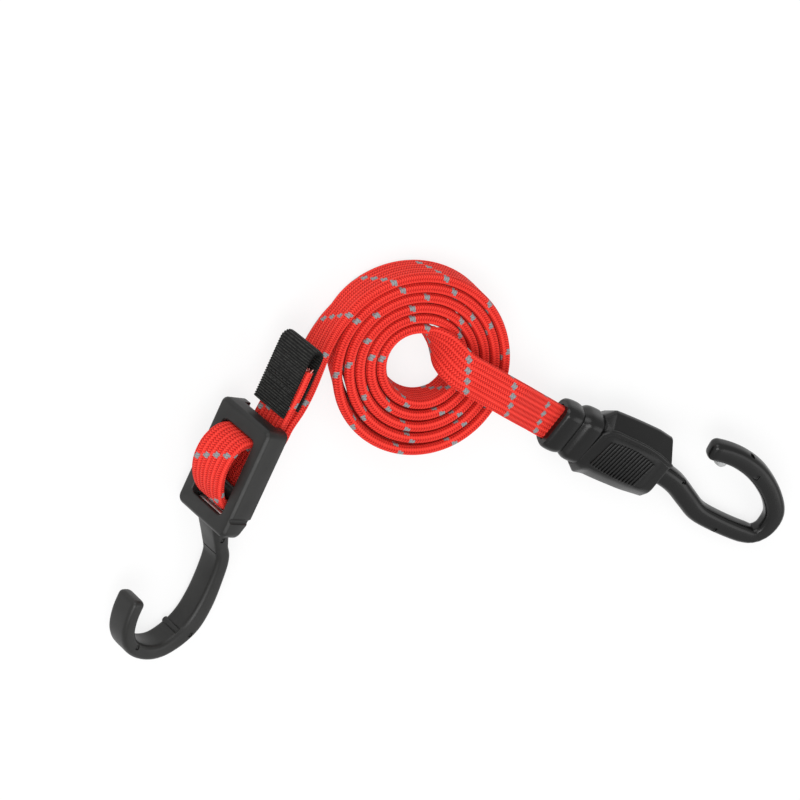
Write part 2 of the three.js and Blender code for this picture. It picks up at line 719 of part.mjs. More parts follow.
function gripCover() {
  const bossWidth = CRIMP_HALF_WIDTH - CLEARANCE;
  const bossLow = [CRIMP_START + CLEARANCE, -bossWidth, CRIMP_HALF_THICKNESS + CLEARANCE];
  const boss = block(bossLow, [CRIMP_END, bossWidth, COVER_FLOOR]);
  let cover = coverPlate(0, COVER_FLOOR, COVER_TOP).add(boss);
  const ribHalf = COVER_HALF_WIDTH - RIB_MARGIN;
  for (let rib = 0; rib < RIB_COUNT; rib += 1) {
    const x = COVER_START + RIB_INSET + rib * RIB_PITCH;
    const low = [x - RIB_WIDTH / 2, -ribHalf, COVER_FLOOR];
    cover = cover.add(block(low, [x + RIB_WIDTH / 2, ribHalf, COVER_TOP + RIB_HEIGHT]));
  }
  return skin(cover.subtract(crimpPin(CLEARANCE)));
}

// A folded steel strip round the strap's end, with a hole for its pin
function crimp() {
  const width = CRIMP_HALF_WIDTH;
  const thickness = CRIMP_HALF_THICKNESS;
  const room = STRAP_THICKNESS / 2 + CLEARANCE;
  const strip = block([CRIMP_START, -width, -thickness], [CRIMP_END, width, thickness]);
  const insideLow = [CRIMP_START - CRIMP_WALL, -width - CRIMP_WALL, -room];
  const inside = block(insideLow, [STRAP_END + CLEARANCE, width + CRIMP_WALL, room]);
  return skin(strip.subtract(inside).subtract(crimpPin(CLEARANCE)));
}

function pinned(geometry) {
  return skin(solid(geometry).subtract(crimpPin(CLEARANCE)));
}

// Assembly: each end is a group in its own axes, set down on the table
function setDown(group, [x, y], turn, lowest) {
  group.rotation.set(...turn.map((degrees) => degrees * DEGREE), 'ZYX');
  group.position.set(x, y, 0);
  group.updateMatrixWorld(true);
  const box = new THREE.Box3().setFromObject(lowest, true);
  group.position.z = -box.min.z;
  group.updateMatrixWorld(true);
}

const adjuster = new THREE.Group();
const adjusterFrame = part('adjuster_frame_hook', adjusterMoulding(), NYLON);
adjuster.add(adjusterFrame);
setDown(adjuster, ADJUSTER_PLACE, [ADJUSTER_ROLL, ADJUSTER_DIP, ADJUSTER_HEADING], adjusterFrame);

const loopStations = [
  ...flatStations(ENTRY_ROUTE, STRAP_END_PLACE),
  ...flatStations(BAR_ROUTE, BAR_PLACE),
  ...flatStations(EXIT_ROUTE, STRAP_END_PLACE),
];
const tailStations = flatStations(TAIL_ROUTE, STRAP_END_PLACE);
loopStations[0].way = new THREE.Vector3(1, 0, 0);
loopStations[loopStations.length - 1].way = new THREE.Vector3(-1, 0, 0);
tailStations[0].way = new THREE.Vector3(-1, 0, 0);
const loopLine = drawnBack(loopStations, true, true);
const tailLine = drawnBack(tailStations, true, false);
adjuster.add(part('adjuster_wire_core', skin(adjusterWire(0)), STEEL));
adjuster.add(part('loop_sheath', sheath(loopLine), SHEATH));
adjuster.add(part('loop_rubber', rubber(loopLine), RUBBER));
adjuster.add(part('tail_sheath', sewn(sheath(tailLine)), SHEATH));
adjuster.add(part('tail_rubber', sewn(rubber(tailLine)), RUBBER));
adjuster.add(part('pull_tab', sewn(tabSheet()), WEBBING));
adjuster.add(part('tab_stitching', skin(stitching(0).add(stitchHead(1)).add(stitchHead(-1))), WEBBING));

const grip = new THREE.Group();
const fixedHook = part('grip_hook_moulding', fixedMoulding(), GLOSSY_NYLON);
grip.add(fixedHook);
setDown(grip, GRIP_PLACE, [GRIP_ROLL, GRIP_DIP, GRIP_HEADING], fixedHook);

const endLine = drawnBack(flatStations([[0, 0], [STRAP_END / 2, 0], [STRAP_END, 0]]), true, false);
grip.add(part('grip_cover', gripCover(), GLOSSY_NYLON));
grip.add(part('grip_wire_core', skin(fixedWire(0)), STEEL));
grip.add(part('strap_crimp', crimp(), STEEL));
grip.add(part('crimp_pin', skin(crimpPin(0)), STEEL));
grip.add(part('hook_tip_pad', skin(tipPad(0)), PALE_RUBBER));
grip.add(part('end_sheath', pinned(sheath(endLine)), SHEATH));
grip.add(part('end_rubber', pinned(rubber(endLine)), RUBBER));

// The coil and the free stretches between it and the two ends
const bungee = new THREE.Group();
bungee.add(adjuster, grip);

// The place and width of the strap where it enters one of the two ends, from a point in its axes
function entry(group, point) {
  const at = group.localToWorld(point.clone());
  const turned = (axis) => axis.clone().transformDirection(group.matrixWorld);
  return meeting(at, turned(acrossY), turned(new THREE.Vector3(1, 0, 0)));
}

const last = coilLine.length - 1;
const coilStart = meeting(coilLine[0].at, coilLine[0].across, heading(coilLine, 0).negate());
const coilEnd = meeting(coilLine[last].at, coilLine[last].across, heading(coilLine, last));
const leadLine = [coilStart, ...routeStations(LEAD_ROUTE), entry(grip, new THREE.Vector3())];
const runLine = [coilEnd, ...routeStations(RUN_ROUTE), entry(adjuster, loopStations[0].at)];
const stretches = { coil: coilLine, lead: leadLine, run: runLine };
for (const [name, line] of Object.entries(stretches)) {
  const stations = drawnBack(line, true, true);
  bungee.add(part(`${name}_sheath`, sheath(stations), SHEATH));
  bungee.add(part(`${name}_rubber`, rubber(stations), RUBBER));
}

// The origin is on the table, under the middle of the whole cord
bungee.updateMatrixWorld(true);
const whole = new THREE.Box3().setFromObject(bungee, true);
const middle = whole.getCenter(new THREE.Vector3());
bungee.position.set(-middle.x, -middle.y, -whole.min.z);

export default bungee;
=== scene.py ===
"""A flat bungee cord, wound up and laid on a table: a red braided strap on edge in a coil, a moulded grip
with a hook at its inner end, and an adjuster frame with a hook and a pull tab at its outer end.
Pieces are modelled in millimetres in the axes of their end of the cord, then set in place in metres."""

from functools import partial
from math import atan2, cos, pi, radians, sin, sqrt

import bmesh
import bpy
from mathutils import Matrix, Vector


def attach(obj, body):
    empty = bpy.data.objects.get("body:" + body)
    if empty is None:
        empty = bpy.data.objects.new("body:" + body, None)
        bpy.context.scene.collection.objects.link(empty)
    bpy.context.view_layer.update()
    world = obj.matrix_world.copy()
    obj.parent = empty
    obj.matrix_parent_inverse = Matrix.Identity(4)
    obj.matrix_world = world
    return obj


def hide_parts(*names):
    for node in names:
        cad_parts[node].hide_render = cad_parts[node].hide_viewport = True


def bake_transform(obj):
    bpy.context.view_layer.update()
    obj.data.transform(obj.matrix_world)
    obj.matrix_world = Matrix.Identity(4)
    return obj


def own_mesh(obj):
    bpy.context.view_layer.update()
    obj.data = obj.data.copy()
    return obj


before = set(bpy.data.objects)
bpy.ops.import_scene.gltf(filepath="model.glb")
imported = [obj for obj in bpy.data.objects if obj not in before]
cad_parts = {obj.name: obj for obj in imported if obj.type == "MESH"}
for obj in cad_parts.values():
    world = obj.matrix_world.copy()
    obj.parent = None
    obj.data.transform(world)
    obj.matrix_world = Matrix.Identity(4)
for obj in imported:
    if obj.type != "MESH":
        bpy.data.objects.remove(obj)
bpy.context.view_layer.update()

MM = 0.001

# The camera of the photograph: straight above is 90 degrees
CAMERA_TARGET = Vector((-39.597, -68.882, 10.0))
CAMERA_DISTANCE = 1200
CAMERA_ELEVATION = 63
CAMERA_ROLL = 130
CAMERA_LENS = 116.1
CAMERA_SENSOR = 36

# Where the cord's own drawing frame, the two ends and their axes lie
COIL_ORIGIN = Vector((-58.19697, -75.02202, 0.00102))
ADJUSTER_ORIGIN = Vector((34.80303, -124.12202, 25.64003))
ADJUSTER_TURN = (65.75, 8, 20.25)
GRIP_ORIGIN = Vector((-77.99697, -2.12202, 13.6259))
GRIP_TURN = (21, 1.5, 105)
TABLE_CLEARANCE = 0.04  # the mouldings are flattened at this height

# Strap
STRAP_WIDTH = 20
STRAP_THICKNESS = 4.7
RIB_COUNT = 18  # cords of the braid round the strap: 7 on each face and 2 on each edge
RIB_DEPTH = 0.38
RIB_POINTS = (0, 0.14, 0.36, 0.64, 0.86)  # places of the points across one rib
STRAP_STEP = 2
STRAP_CREASE = 50  # edges sharper than this many degrees stay sharp

# Coil
COIL_CENTRE = (-0.5, -1.5)
COIL_CORE_RADIUS = 14.5
COIL_PITCH = 5.18
COIL_SHIFT = (0.6, -0.6)
COIL_DRIFT = (0.3, 0.26)
COIL_SQUASH = -0.6
COIL_LEAN = 8
COIL_LEAN_GROWTH = 2
COIL_SLACK_SIDE = 345
COIL_TIGHT_SIDE = 235  # where the turns lean the other way, the outer ones most
COIL_TIGHT_LEAN = -9
COIL_TIGHT_TURNS = (1, 4)
COIL_GAP = 0.95  # how far the outer turn stands off the others on the slack side
COIL_GAP_TURNS = (4.55, 4.8)
COIL_START = 215
COIL_END = 2077
COIL_KNOT_STEP = 7.6
COIL_LIFT = 0.1
STRAP_EDGE = 1.1

# Free stretches: x, y, z and the lean of the width to the left of the way out of the coil
LEAD_ROUTE = [
    (-14.6, -7.6, 10.2, 0), (-13.9, -4.0, 12.2, 5), (-12.9, -0.2, 15.9, 20), (-11.7, 4.0, 20.3, 41),
    (-10.7, 8.0, 23.6, 55), (-10.4, 12.8, 26.0, 64), (-11.35, 19.5, 26.9, 69), (-12.65, 27, 27.1, 69),
    (-13.9, 34.5, 27.0, 69), (-15.2, 42, 26.4, 69), (-16.2, 49, 23.3, 69), (-17.2, 56, 19.9, 69),
    (-18.35, 63.5, 16.6, 69), (-19.15, 69, 14.6, 69),
]
RUN_ROUTE = [
    (13, -46, 10.5, 7), (23, -44.9, 11.9, 10), (33, -43.0, 14.4, 14), (43, -41.4, 17.3, 18),
    (52, -40.6, 19.5, 22),
]

# Strap through the adjuster, in the adjuster's axes: x, z and the tilt of its width
LOOP_ROUTE = [
    (-26, -21.2, 0), (-21, -21.0, 0), (-16, -20.2, 0), (-8, -18.5, 0), (0, -16.6, 0), (6.5, -14.3, 0),
    (10.5, -13.2, 0), (14.5, -11.5, 0), (16.15, -7.5, 0), (14.9, -2.8, 0), (11.5, 1.4, 3), (6, 4.9, 6),
    (-1, 6.9, 8), (-8.8, 6.2, 8), (-14.8, 2.4, 5), (-16.9, -4.6, 2), (-17, -10.5, 0), (-18, -13.8, 0),
    (-21, -15.4, 0), (-26, -15.7, 0, 0.4),
]
LOOP_SHIFT = -0.1  # how far it moves aside for each degree of tilt
BAR_KNOT = 7  # where the strap leaves the bar for the bulge
BULGE_KNOT = 16  # where the bulge ends and the strap goes out under the frame
LOOSE_SLACK = 1.12  # the loose end has this much more of the braid's pattern in a length than the coil
BUNCHED_SLACK = 1.5  # and it is bunched where it goes out under the frame
# The tail's way on from there: x, z, tilt and how far it lies to the side
TAIL_ROUTE = [(-33, -15.6, 0, 1.0), (-44.5, -15.4, 0, 1.9), (-56, -15.4, 0, 1.9)]
STRAP_END = 39.3  # how far the strap goes into the grip

# Adjuster
WINDOW_LENGTH = 39
WINDOW_WIDTH = 23
WINDOW_CORNER = 2
FRAME_LENGTH = 55.4
FRAME_WIDTH = 36.4
FRAME_DEPTH = 12.5
FRAME_CORNER = 3.6
FRAME_CHAMFER = 1.5
EDGE_SOFTENING = 0.5
WINDOW_FLARE = 0.35
FRAME_SLOPE_LENGTH = 10.7
FRAME_SLOPE = 20
FRAME_SCOOP = 4
SIDE_GROOVE_PLACE = (WINDOW_LENGTH / 2 - 1.5, FRAME_WIDTH / 2 + 0.5, -FRAME_DEPTH / 2)
SIDE_GROOVE_RADIUS = 1.6
BAR_PLACE = (10.5, 0, -7.5)
BAR_RADIUS = 3.2
BAR_OVERLAP = 3  # how far the bar runs into the frame's sides
ADJUSTER_HOOK_LINE = [  # x, z and how many times as deep as the plain section
    (23, -6.6, 1), (28.5, -10, 1), (34.5, -13.9, 1), (39.6, -17.1, 1), (43, -19.6, 1.05), (47, -21.1, 1.12),
    (57, -22.5, 1.18), (70, -22.9, 1.35), (81, -20.9, 1.46), (89, -15.6, 1.36), (94.8, -7.9, 1.19),
    (96.1, 0.6, 1.09), (93.4, 10, 1.03), (87.8, 15.6, 1), (79, 18.4, 1), (68.6, 18.7, 1),
]
ADJUSTER_HOOK_SECTION = (13.5, 7, 2.8)  # width, thickness and rounding
ADJUSTER_HOOK_SIDE = 0.3  # how far its middle is above the frame's
ADJUSTER_NECK = (20, 1.12, 1.4)  # length, and how much wider and thicker it starts
ADJUSTER_TIP = 2.4
ADJUSTER_STEP = 1.7
TIP_ROOM = 0.2  # between the last plain section of a hook and its tip
CREASE_PLACE = (42.2, 0, -14.8)
CREASE_RADIUS = 0.4
CREASE_LENGTH = 30
ADJUSTER_MARKS = [(34.2, 7.5, -13.2), (85.2, 7.2, -20.6), (92.6, 7.1, 8.6)]
ADJUSTER_MARK_SIZE = (2.6, 2.2, 1.9)
MARK_ROUNDING = 0.4
RIDGE_PLACE = (84.6, 0, -13.6)
RIDGE_RADIUS = 1.6
RIDGE_LENGTH = 10.8
ROD_PLACE = (20.9, 0, -5)
ROD_RADIUS = 1.9
ROD_LENGTH = 17
ROD_BEVEL = 0.4
POCKET_GAP = 0.6  # round the rod, in the frame
POCKET_SHIFT = 0.4
POCKET_ROUNDING = 0.5
WIRE_TIP = 0.8
WIRE_STEP = 4

# Pull tab
TAB_WIDTH = 22
TAB_THICKNESS = 1.6
TAB_EDGE_SHARE = 0.75  # of its thickness is left at its edges
TAB_PARTS = 10  # across its width
TAB_FRONT_END = -32
TAB_BACK_END = -36
TAB_FOLD = -62.5
TAB_FOLD_STEP = 20
TAB_MIDDLE = -15.4
TAB_OFFSET = 3.55
TAB_RIB_PITCH = 1.25
TAB_RIB_DEPTH = 0.42
STITCH_ROWS = (-44.5, -47.5)
STITCH_COUNT = 7
STITCH_SIZE = (0.9, 2.2, 0.9)
STITCH_ROUNDING = 0.4
STITCH_SPREAD = 0.85  # share of the tab's width
FRAY_COUNT = 22
FRAY_SIZE = (2.6, 0.55, 0.55)
FRAY_ROUNDING = 0.25
FRAY_SPREAD = 0.94  # share of the strap's width
FRAY_LIFT = 1.3
FRAY_STAGGER = 0.4
FRAY_TILT = (18, 14)
FRAY_WAVES = (2.4, 1.7, 5)  # uneven steps from strand to strand for lift, stagger and turn

# Grip and fixed hook
RING_ROUND = 5.6
RING_STEP = 0.7
RING_PROFILE = [  # x, and how far it stands out from the strap across and up
    (1, 2.2, 3.5), (2, 2.9, 4.4), (4.4, 3.3, 4.95), (8.4, 3.3, 4.95), (10.7, 2.8, 4.45), (11.7, 2.2, 3.85),
    (12.6, 2.8, 4.55), (15, 3.9, 5.75), (19.4, 4.1, 6.05), (21.6, 3.9, 5.9), (22.5, 3.5, 5.5),
    (25.4, 3.5, 5.5),
]
BODY_FACE_HALF_WIDTH = 11.8
BODY_FACE_MIDDLE = 0.8
BODY_HALF_WIDTH = 19.3
BODY_HALF_THICKNESS = 8.9
BODY_EDGE = 1.2
BODY_PROFILE = [  # x, and shares of the half width and half thickness
    (22.7, 0.73, 0.97), (26.6, 0.985, 1), (36, 1, 1), (46, 1, 1), (54, 0.99, 1), (61, 0.955, 0.995),
    (66.2, 0.93, 0.94),
]
RIM_EDGE_SWEEP = (38, 66, -3.4)  # the face's rim edge comes in from here to there by so much
PALM_EDGE = (1.7, 3.0)  # the palm side's edge is this much nearer the middle and higher
FRONT_SPREAD = 2.6  # and the front is this much wider on the palm side
# Slants of the ends: from, to, the place across that stays, and millimetres for each one across
FRONT_SLANT = (30, 22.7, 9, 0.09)
END_SLANT = (54, 66.2, 8.5, 0.42)
BODY_STEP = 1.3
FACE_LEVEL = 0.7 * BODY_HALF_THICKNESS  # above it is the face
EDGE_LEVEL = 0.5 * BODY_HALF_THICKNESS  # below it is the side's edge
BODY_BEVEL = 0.6
BODY_SOFT_EDGE = 2.4
FIXED_HOOK_LINE = [  # x, y and how many times as deep as the plain section
    (58, -1.0, 1), (68, -1.5, 1), (79.3, -3.7, 1), (91, -8.8, 1), (100.5, -12.9, 1), (110.3, -14.2, 1),
    (131.0, -14.2, 0.97), (137.2, -12.9, 0.82), (140.3, -9.0, 0.84), (140.9, -3.3, 0.94),
    (138.9, 3.4, 0.97), (130.1, 11.9, 0.97), (114.7, 20, 1), (101.7, 22.9, 1), (91.8, 22.8, 1),
    (82.5, 21.1, 1),
]
FIXED_HOOK_SECTION = (10.6, 8.7, 3.2)
FIXED_HOOK_STEM = (46, 1.1, 1)  # length, and how much wider and thicker it starts
FIXED_HOOK_TIP = 3.6
FIXED_HOOK_STEP = 2
RIM_LINE = [
    (23.2, 8.4, 8.2), (26.6, 11.9, 8.4), (36, 12.2, 8.4), (46, 11.9, 8.4), (54, 10.9, 8.4), (61, 9.1, 8.3),
    (65, 7.6, 7.7), (66.8, 6.9, 7.1),
]
RIM_SECTION = (2.8, 2.2, 0.8)
RIM_TIP = 0.5
RIM_STEP = 1.5
SLOT_GAP = 0.3  # round the strap
SLOT_ROUNDING = 1.6
SLOT_START = -5
SLOT_END = STRAP_END + 1
COVER_SIZE = (34.9, 20.8)
COVER_CORNER = 3
COVER_MIDDLE = 43.35
COVER_FLOOR = 8.1
COVER_FACE = 8.92
COVER_TOP = 9.3
COVER_CROWN = 4
COVER_STEPS = 8
GRIP_RIBS = 15
GRIP_RIB_START = 28.6
GRIP_RIB_PITCH = 1.93
GRIP_RIB_SIZE = (1.05, 18.4, 2)
GRIP_RIB_SHORTER = 2.8  # the first and the last one are shorter than the middle one
GRIP_RIB_MIDDLE = -0.4
GRIP_RIB_SWEEP = -1.8  # the last one is this far to the palm side of the first
GRIP_RIB_SLANT = -8
GRIP_RIB_TOP = 9.95
GRIP_RIB_ROUNDING = 0.35
PAD_PLACE = (92.8, 17.9, 0)
PAD_RADIUS = 3.6
PAD_FLAT = 0.6  # share of the radius past which it is squashed
PAD_SQUASH = (1.04, 0.7, 1.04)
PIN_MARKS = [(82, 0.8, 3.2), (114.5, -17.4, 4.4), (105, 27.7, 1.5), (113.5, 19, 5)]
PIN_MARK_SIZE = (2.8, 3, 2.8)

# Stage: sizes and places in metres
FLOOR_SIZE = 6
FLOOR_GLOW = 0.8  # share of the floor that is lit by itself
WORLD_LIGHT = 0.62
LAMP_SIZE = 0.8
LAMPS = {  # places and powers
    "key": ((0.45, -0.3, 1.15), 8.5),
    "fill": ((-0.1, 0.9, 0.9), 3),
    "near": ((-0.55, -1.0, 0.75), 4.5),
}


# Modelling by hand


def start_fresh():
    """Object mode, with nothing selected."""
    if bpy.context.mode != "OBJECT":
        bpy.ops.object.mode_set(mode="OBJECT")
    bpy.ops.object.select_all(action="DESELECT")


def pick(piece):
    """The one piece that the next operators act on."""
    start_fresh()
    piece.select_set(True)
    bpy.context.view_layer.objects.active = piece


def named(name):
    """The piece just added, with its name, and its size and turn put into its mesh."""
    piece = bpy.context.object
    piece.name = name
    piece.data.name = name
    bpy.ops.object.transform_apply()
    return piece


def round_plate(name, width, length, rounding, at, turn=(0, 0, 0), segments=6):
    """A flat plate with round corners, open in edit mode with its face selected."""
    start_fresh()
    bpy.ops.mesh.primitive_plane_add(size=1, location=at, rotation=turn)
    bpy.context.object.scale = (width, length, 1)
    piece = named(name)
    bpy.ops.object.mode_set(mode="EDIT")
    bpy.ops.mesh.select_all(action="SELECT")
    bpy.ops.mesh.bevel(offset=rounding, segments=segments, affect="VERTICES")
    bpy.ops.mesh.select_all(action="SELECT")
    return piece


def pull_out(way):
    bpy.ops.mesh.extrude_region_move(TRANSFORM_OT_translate={"value": way})


def close_up():
    """Back to object mode, with the faces pointing outwards."""
    bpy.ops.mesh.select_all(action="SELECT")
    bpy.ops.mesh.normals_make_consistent(inside=False)
    bpy.ops.object.mode_set(mode="OBJECT")


def use_modifier(piece, kind, **settings):
    pick(piece)
    bpy.ops.object.modifier_add(type=kind)
    modifier = piece.modifiers[-1]
    for key, value in settings.items():
        setattr(modifier, key, value)
    bpy.ops.object.modifier_apply(modifier=modifier.name)


def join_or_cut(piece, operation, *tools):
    for tool in tools:
        use_modifier(piece, "BOOLEAN", object=tool, operation=operation, solver="EXACT")
        bpy.data.objects.remove(tool)


def soften(piece, width, angle):
    """Bevels the edges that turn by more than an angle in degrees."""
    use_modifier(piece, "BEVEL", width=width, segments=2, limit_method="ANGLE", angle_limit=radians(angle))


def choose(piece, kind, wanted):
    """Selects only the vertices or edges that pass a test, in edit mode."""
    bpy.ops.mesh.select_mode(type=kind)
    bpy.ops.mesh.select_all(action="DESELECT")
    mesh = bmesh.from_edit_mesh(piece.data)
    for item in mesh.verts if kind == "VERT" else mesh.edges:
        item.select_set(wanted(item))
    mesh.select_flush_mode()
    bmesh.update_edit_mesh(piece.data)


def resize(shares, at):
    bpy.ops.transform.resize(value=shares, center_override=at)


def round_bar(name, at, radius, length, turn=(pi / 2, 0, 0), sides=40):
    """A round bar, which lies across its end of the cord unless it is turned."""
    start_fresh()
    bpy.ops.mesh.primitive_cylinder_add(vertices=sides, radius=radius, depth=length, location=at,
                                        rotation=turn)
    return named(name)


def block(name, at, size, rounding, turn=(0, 0, 0)):
    """A small block with softened edges."""
    start_fresh()
    bpy.ops.mesh.primitive_cube_add(size=1, location=at, rotation=turn)
    bpy.context.object.scale = size
    piece = named(name)
    use_modifier(piece, "BEVEL", width=rounding, segments=3, limit_method="NONE")
    return piece


def axes_of(turn):
    """An end's own axes as a matrix."""
    roll, dip, heading = [radians(angle) for angle in turn]
    return Matrix.Rotation(heading, 3, "Z") @ Matrix.Rotation(dip, 3, "Y") @ Matrix.Rotation(roll, 3, "X")


ADJUSTER_AXES = axes_of(ADJUSTER_TURN)
GRIP_AXES = axes_of(GRIP_TURN)


def rest_on_table(piece, origin, axes):
    """Takes off what would reach below the table, in an end's own axes."""
    pick(piece)
    bpy.ops.object.mode_set(mode="EDIT")
    bpy.ops.mesh.select_all(action="SELECT")
    level = axes.transposed() @ (Vector((0, 0, TABLE_CLEARANCE)) - origin)
    upright = axes.transposed() @ Vector((0, 0, 1))
    bpy.ops.mesh.bisect(plane_co=level, plane_no=upright, use_fill=True, clear_inner=True)
    bpy.ops.object.mode_set(mode="OBJECT")


def smooth_line(points, step):
    """Points about a step apart on a smooth line through the given ones, each with the number of the
    given point before it and the share of the way to the next."""
    line = []
    for index in range(len(points) - 1):
        p1, p2 = points[index], points[index + 1]
        p0 = points[index - 1] if index else 2 * p1 - p2
        p3 = points[index + 2] if index + 2 < len(points) else 2 * p2 - p1
        t1 = sqrt((p1 - p0).length)
        t2 = t1 + sqrt((p2 - p1).length)
        t3 = t2 + sqrt((p3 - p2).length)
        count = max(1, round((p2 - p1).length / step))
        for part in range(count):
            t = t1 + (t2 - t1) * part / count
            a1 = p0.lerp(p1, t / t1)
            a2 = p1.lerp(p2, (t - t1) / (t2 - t1))
            a3 = p2.lerp(p3, (t - t2) / (t3 - t2))
            b1 = a1.lerp(a2, t / t2)
            b2 = a2.lerp(a3, (t - t1) / (t3 - t1))
            line.append((b1.lerp(b2, (t - t1) / (t2 - t1)), index, part / count))
    line.append((points[-1].copy(), len(points) - 2, 1.0))
    return line


def ways(line):
    """The direction of a line at each of its points."""
    last = len(line) - 1
    return [(line[min(i + 1, last)] - line[max(i - 1, 0)]).normalized() for i in range(last + 1)]


def turn_face(angle, axis, at):
    bpy.ops.transform.rotate(value=-angle, orient_axis=axis, center_override=at)


def draw_arm(stations, axis):
    """Pulls the selected face, which points along x, out through stations in a plane. Each station has
    its place, width and thickness, and the axis is the one that the line turns about."""
    headings = []
    for way in ways([at for at, wide, thick in stations]):
        headings.append(atan2(-way.z, way.x) if axis == "Y" else atan2(way.y, way.x))
    turn_face(headings[0], axis, stations[0][0])
    for index in range(1, len(stations)):
        before, wide_before, thick_before = stations[index - 1]
        at, wide, thick = stations[index]
        pull_out(at - before)
        turn_face(-headings[index - 1], axis, at)
        resize((1, wide / wide_before, thick / thick_before), at)
        turn_face(headings[index], axis, at)


def share_of(value, start, end):
    """How far a value is on the way from start to end, from 0 to 1."""
    return min(1, max(0, (value - start) / (end - start)))


def lengths_along(line):
    """How far along a line each of its points is."""
    lengths = [0.0]
    for at, after in zip(line, line[1:]):
        lengths.append(lengths[-1] + (after - at).length)
    return lengths


def hook_arm(name, rows, axis, section, tip, step, neck=(1, 1, 1)):
    """A hook's arm: width, thickness and rounding of its section, drawn along its middle line. The neck
    tapers to the plain section over its length, and the tip is rounded off. A row is a point, and it may
    add how many times as deep the arm is there, in the plane of the hook."""
    width, thickness, rounding = section
    neck_length, neck_wide, neck_thick = neck
    swell = [row[3] if len(row) > 3 else 1 for row in rows]
    places = smooth_line([Vector(row[:3]) for row in rows], step)
    line = [at for at, index, share in places]
    lengths = lengths_along(line)
    stations = []
    for (at, index, share), length in zip(places, lengths):
        if length > lengths[-1] - tip - TIP_ROOM:
            break
        taper = max(0, 1 - length / neck_length)
        deep = swell[index] + (swell[index + 1] - swell[index]) * share
        wide = width * (1 + (neck_wide - 1) * taper) * (deep if axis == "Z" else 1)
        thick = thickness * (1 + (neck_thick - 1) * taper) * (deep if axis == "Y" else 1)
        stations.append((at, wide, thick))
    way = (line[-1] - line[-2]).normalized()
    for degrees in (0, 20, 40, 60, 80):
        inset = tip * (1 - cos(radians(degrees)))
        at = line[-1] - way * tip * (1 - sin(radians(degrees)))
        stations.append((at, width - 2 * inset, thickness - 2 * inset))
    at, wide, thick = stations[0]
    piece = round_plate(name, thick, wide, rounding, at, (0, pi / 2, 0), segments=5)
    draw_arm(stations, axis)
    close_up()
    return piece


# Finishes


def linear(colour):
    """An sRGB hex colour as the linear one that a shader takes."""
    channels = [int(colour[place:place + 2], 16) / 255 for place in (1, 3, 5)]
    return [c / 12.92 if c <= 0.04045 else ((c + 0.055) / 1.055) ** 2.4 for c in channels] + [1.0]


def result_of(node):
    return next(output for output in node.outputs if output.enabled)


def add_node(shader, kind, inputs=(), operation=None, to=None, **settings):
    """Adds a node beside a shader with its settings, and links or sets its inputs, given in order or by
    name or number. A node among them stands for its result. It may be linked on to the shader."""
    tree = shader.id_data
    node = tree.nodes.new("ShaderNode" + kind)
    if operation:
        node.operation = operation
    for key, value in settings.items():
        setattr(node, key, value)
    for key, source in inputs.items() if isinstance(inputs, dict) else enumerate(inputs):
        if isinstance(source, bpy.types.Node):
            source = result_of(source)
        if isinstance(source, bpy.types.NodeSocket):
            tree.links.new(source, node.inputs[key])
        else:
            node.inputs[key].default_value = source
    if to:
        tree.links.new(result_of(node), shader.inputs[to])
    return node


def new_finish(name, **sockets):
    """A material with its shader's plain numbers and colours set, and what adds nodes to it."""
    material = bpy.data.materials.new(name)
    material.use_nodes = True
    shader = material.node_tree.nodes["Principled BSDF"]
    for key, value in sockets.items():
        shader.inputs[key.replace("_", " ")].default_value = value
    return material, partial(add_node, shader)


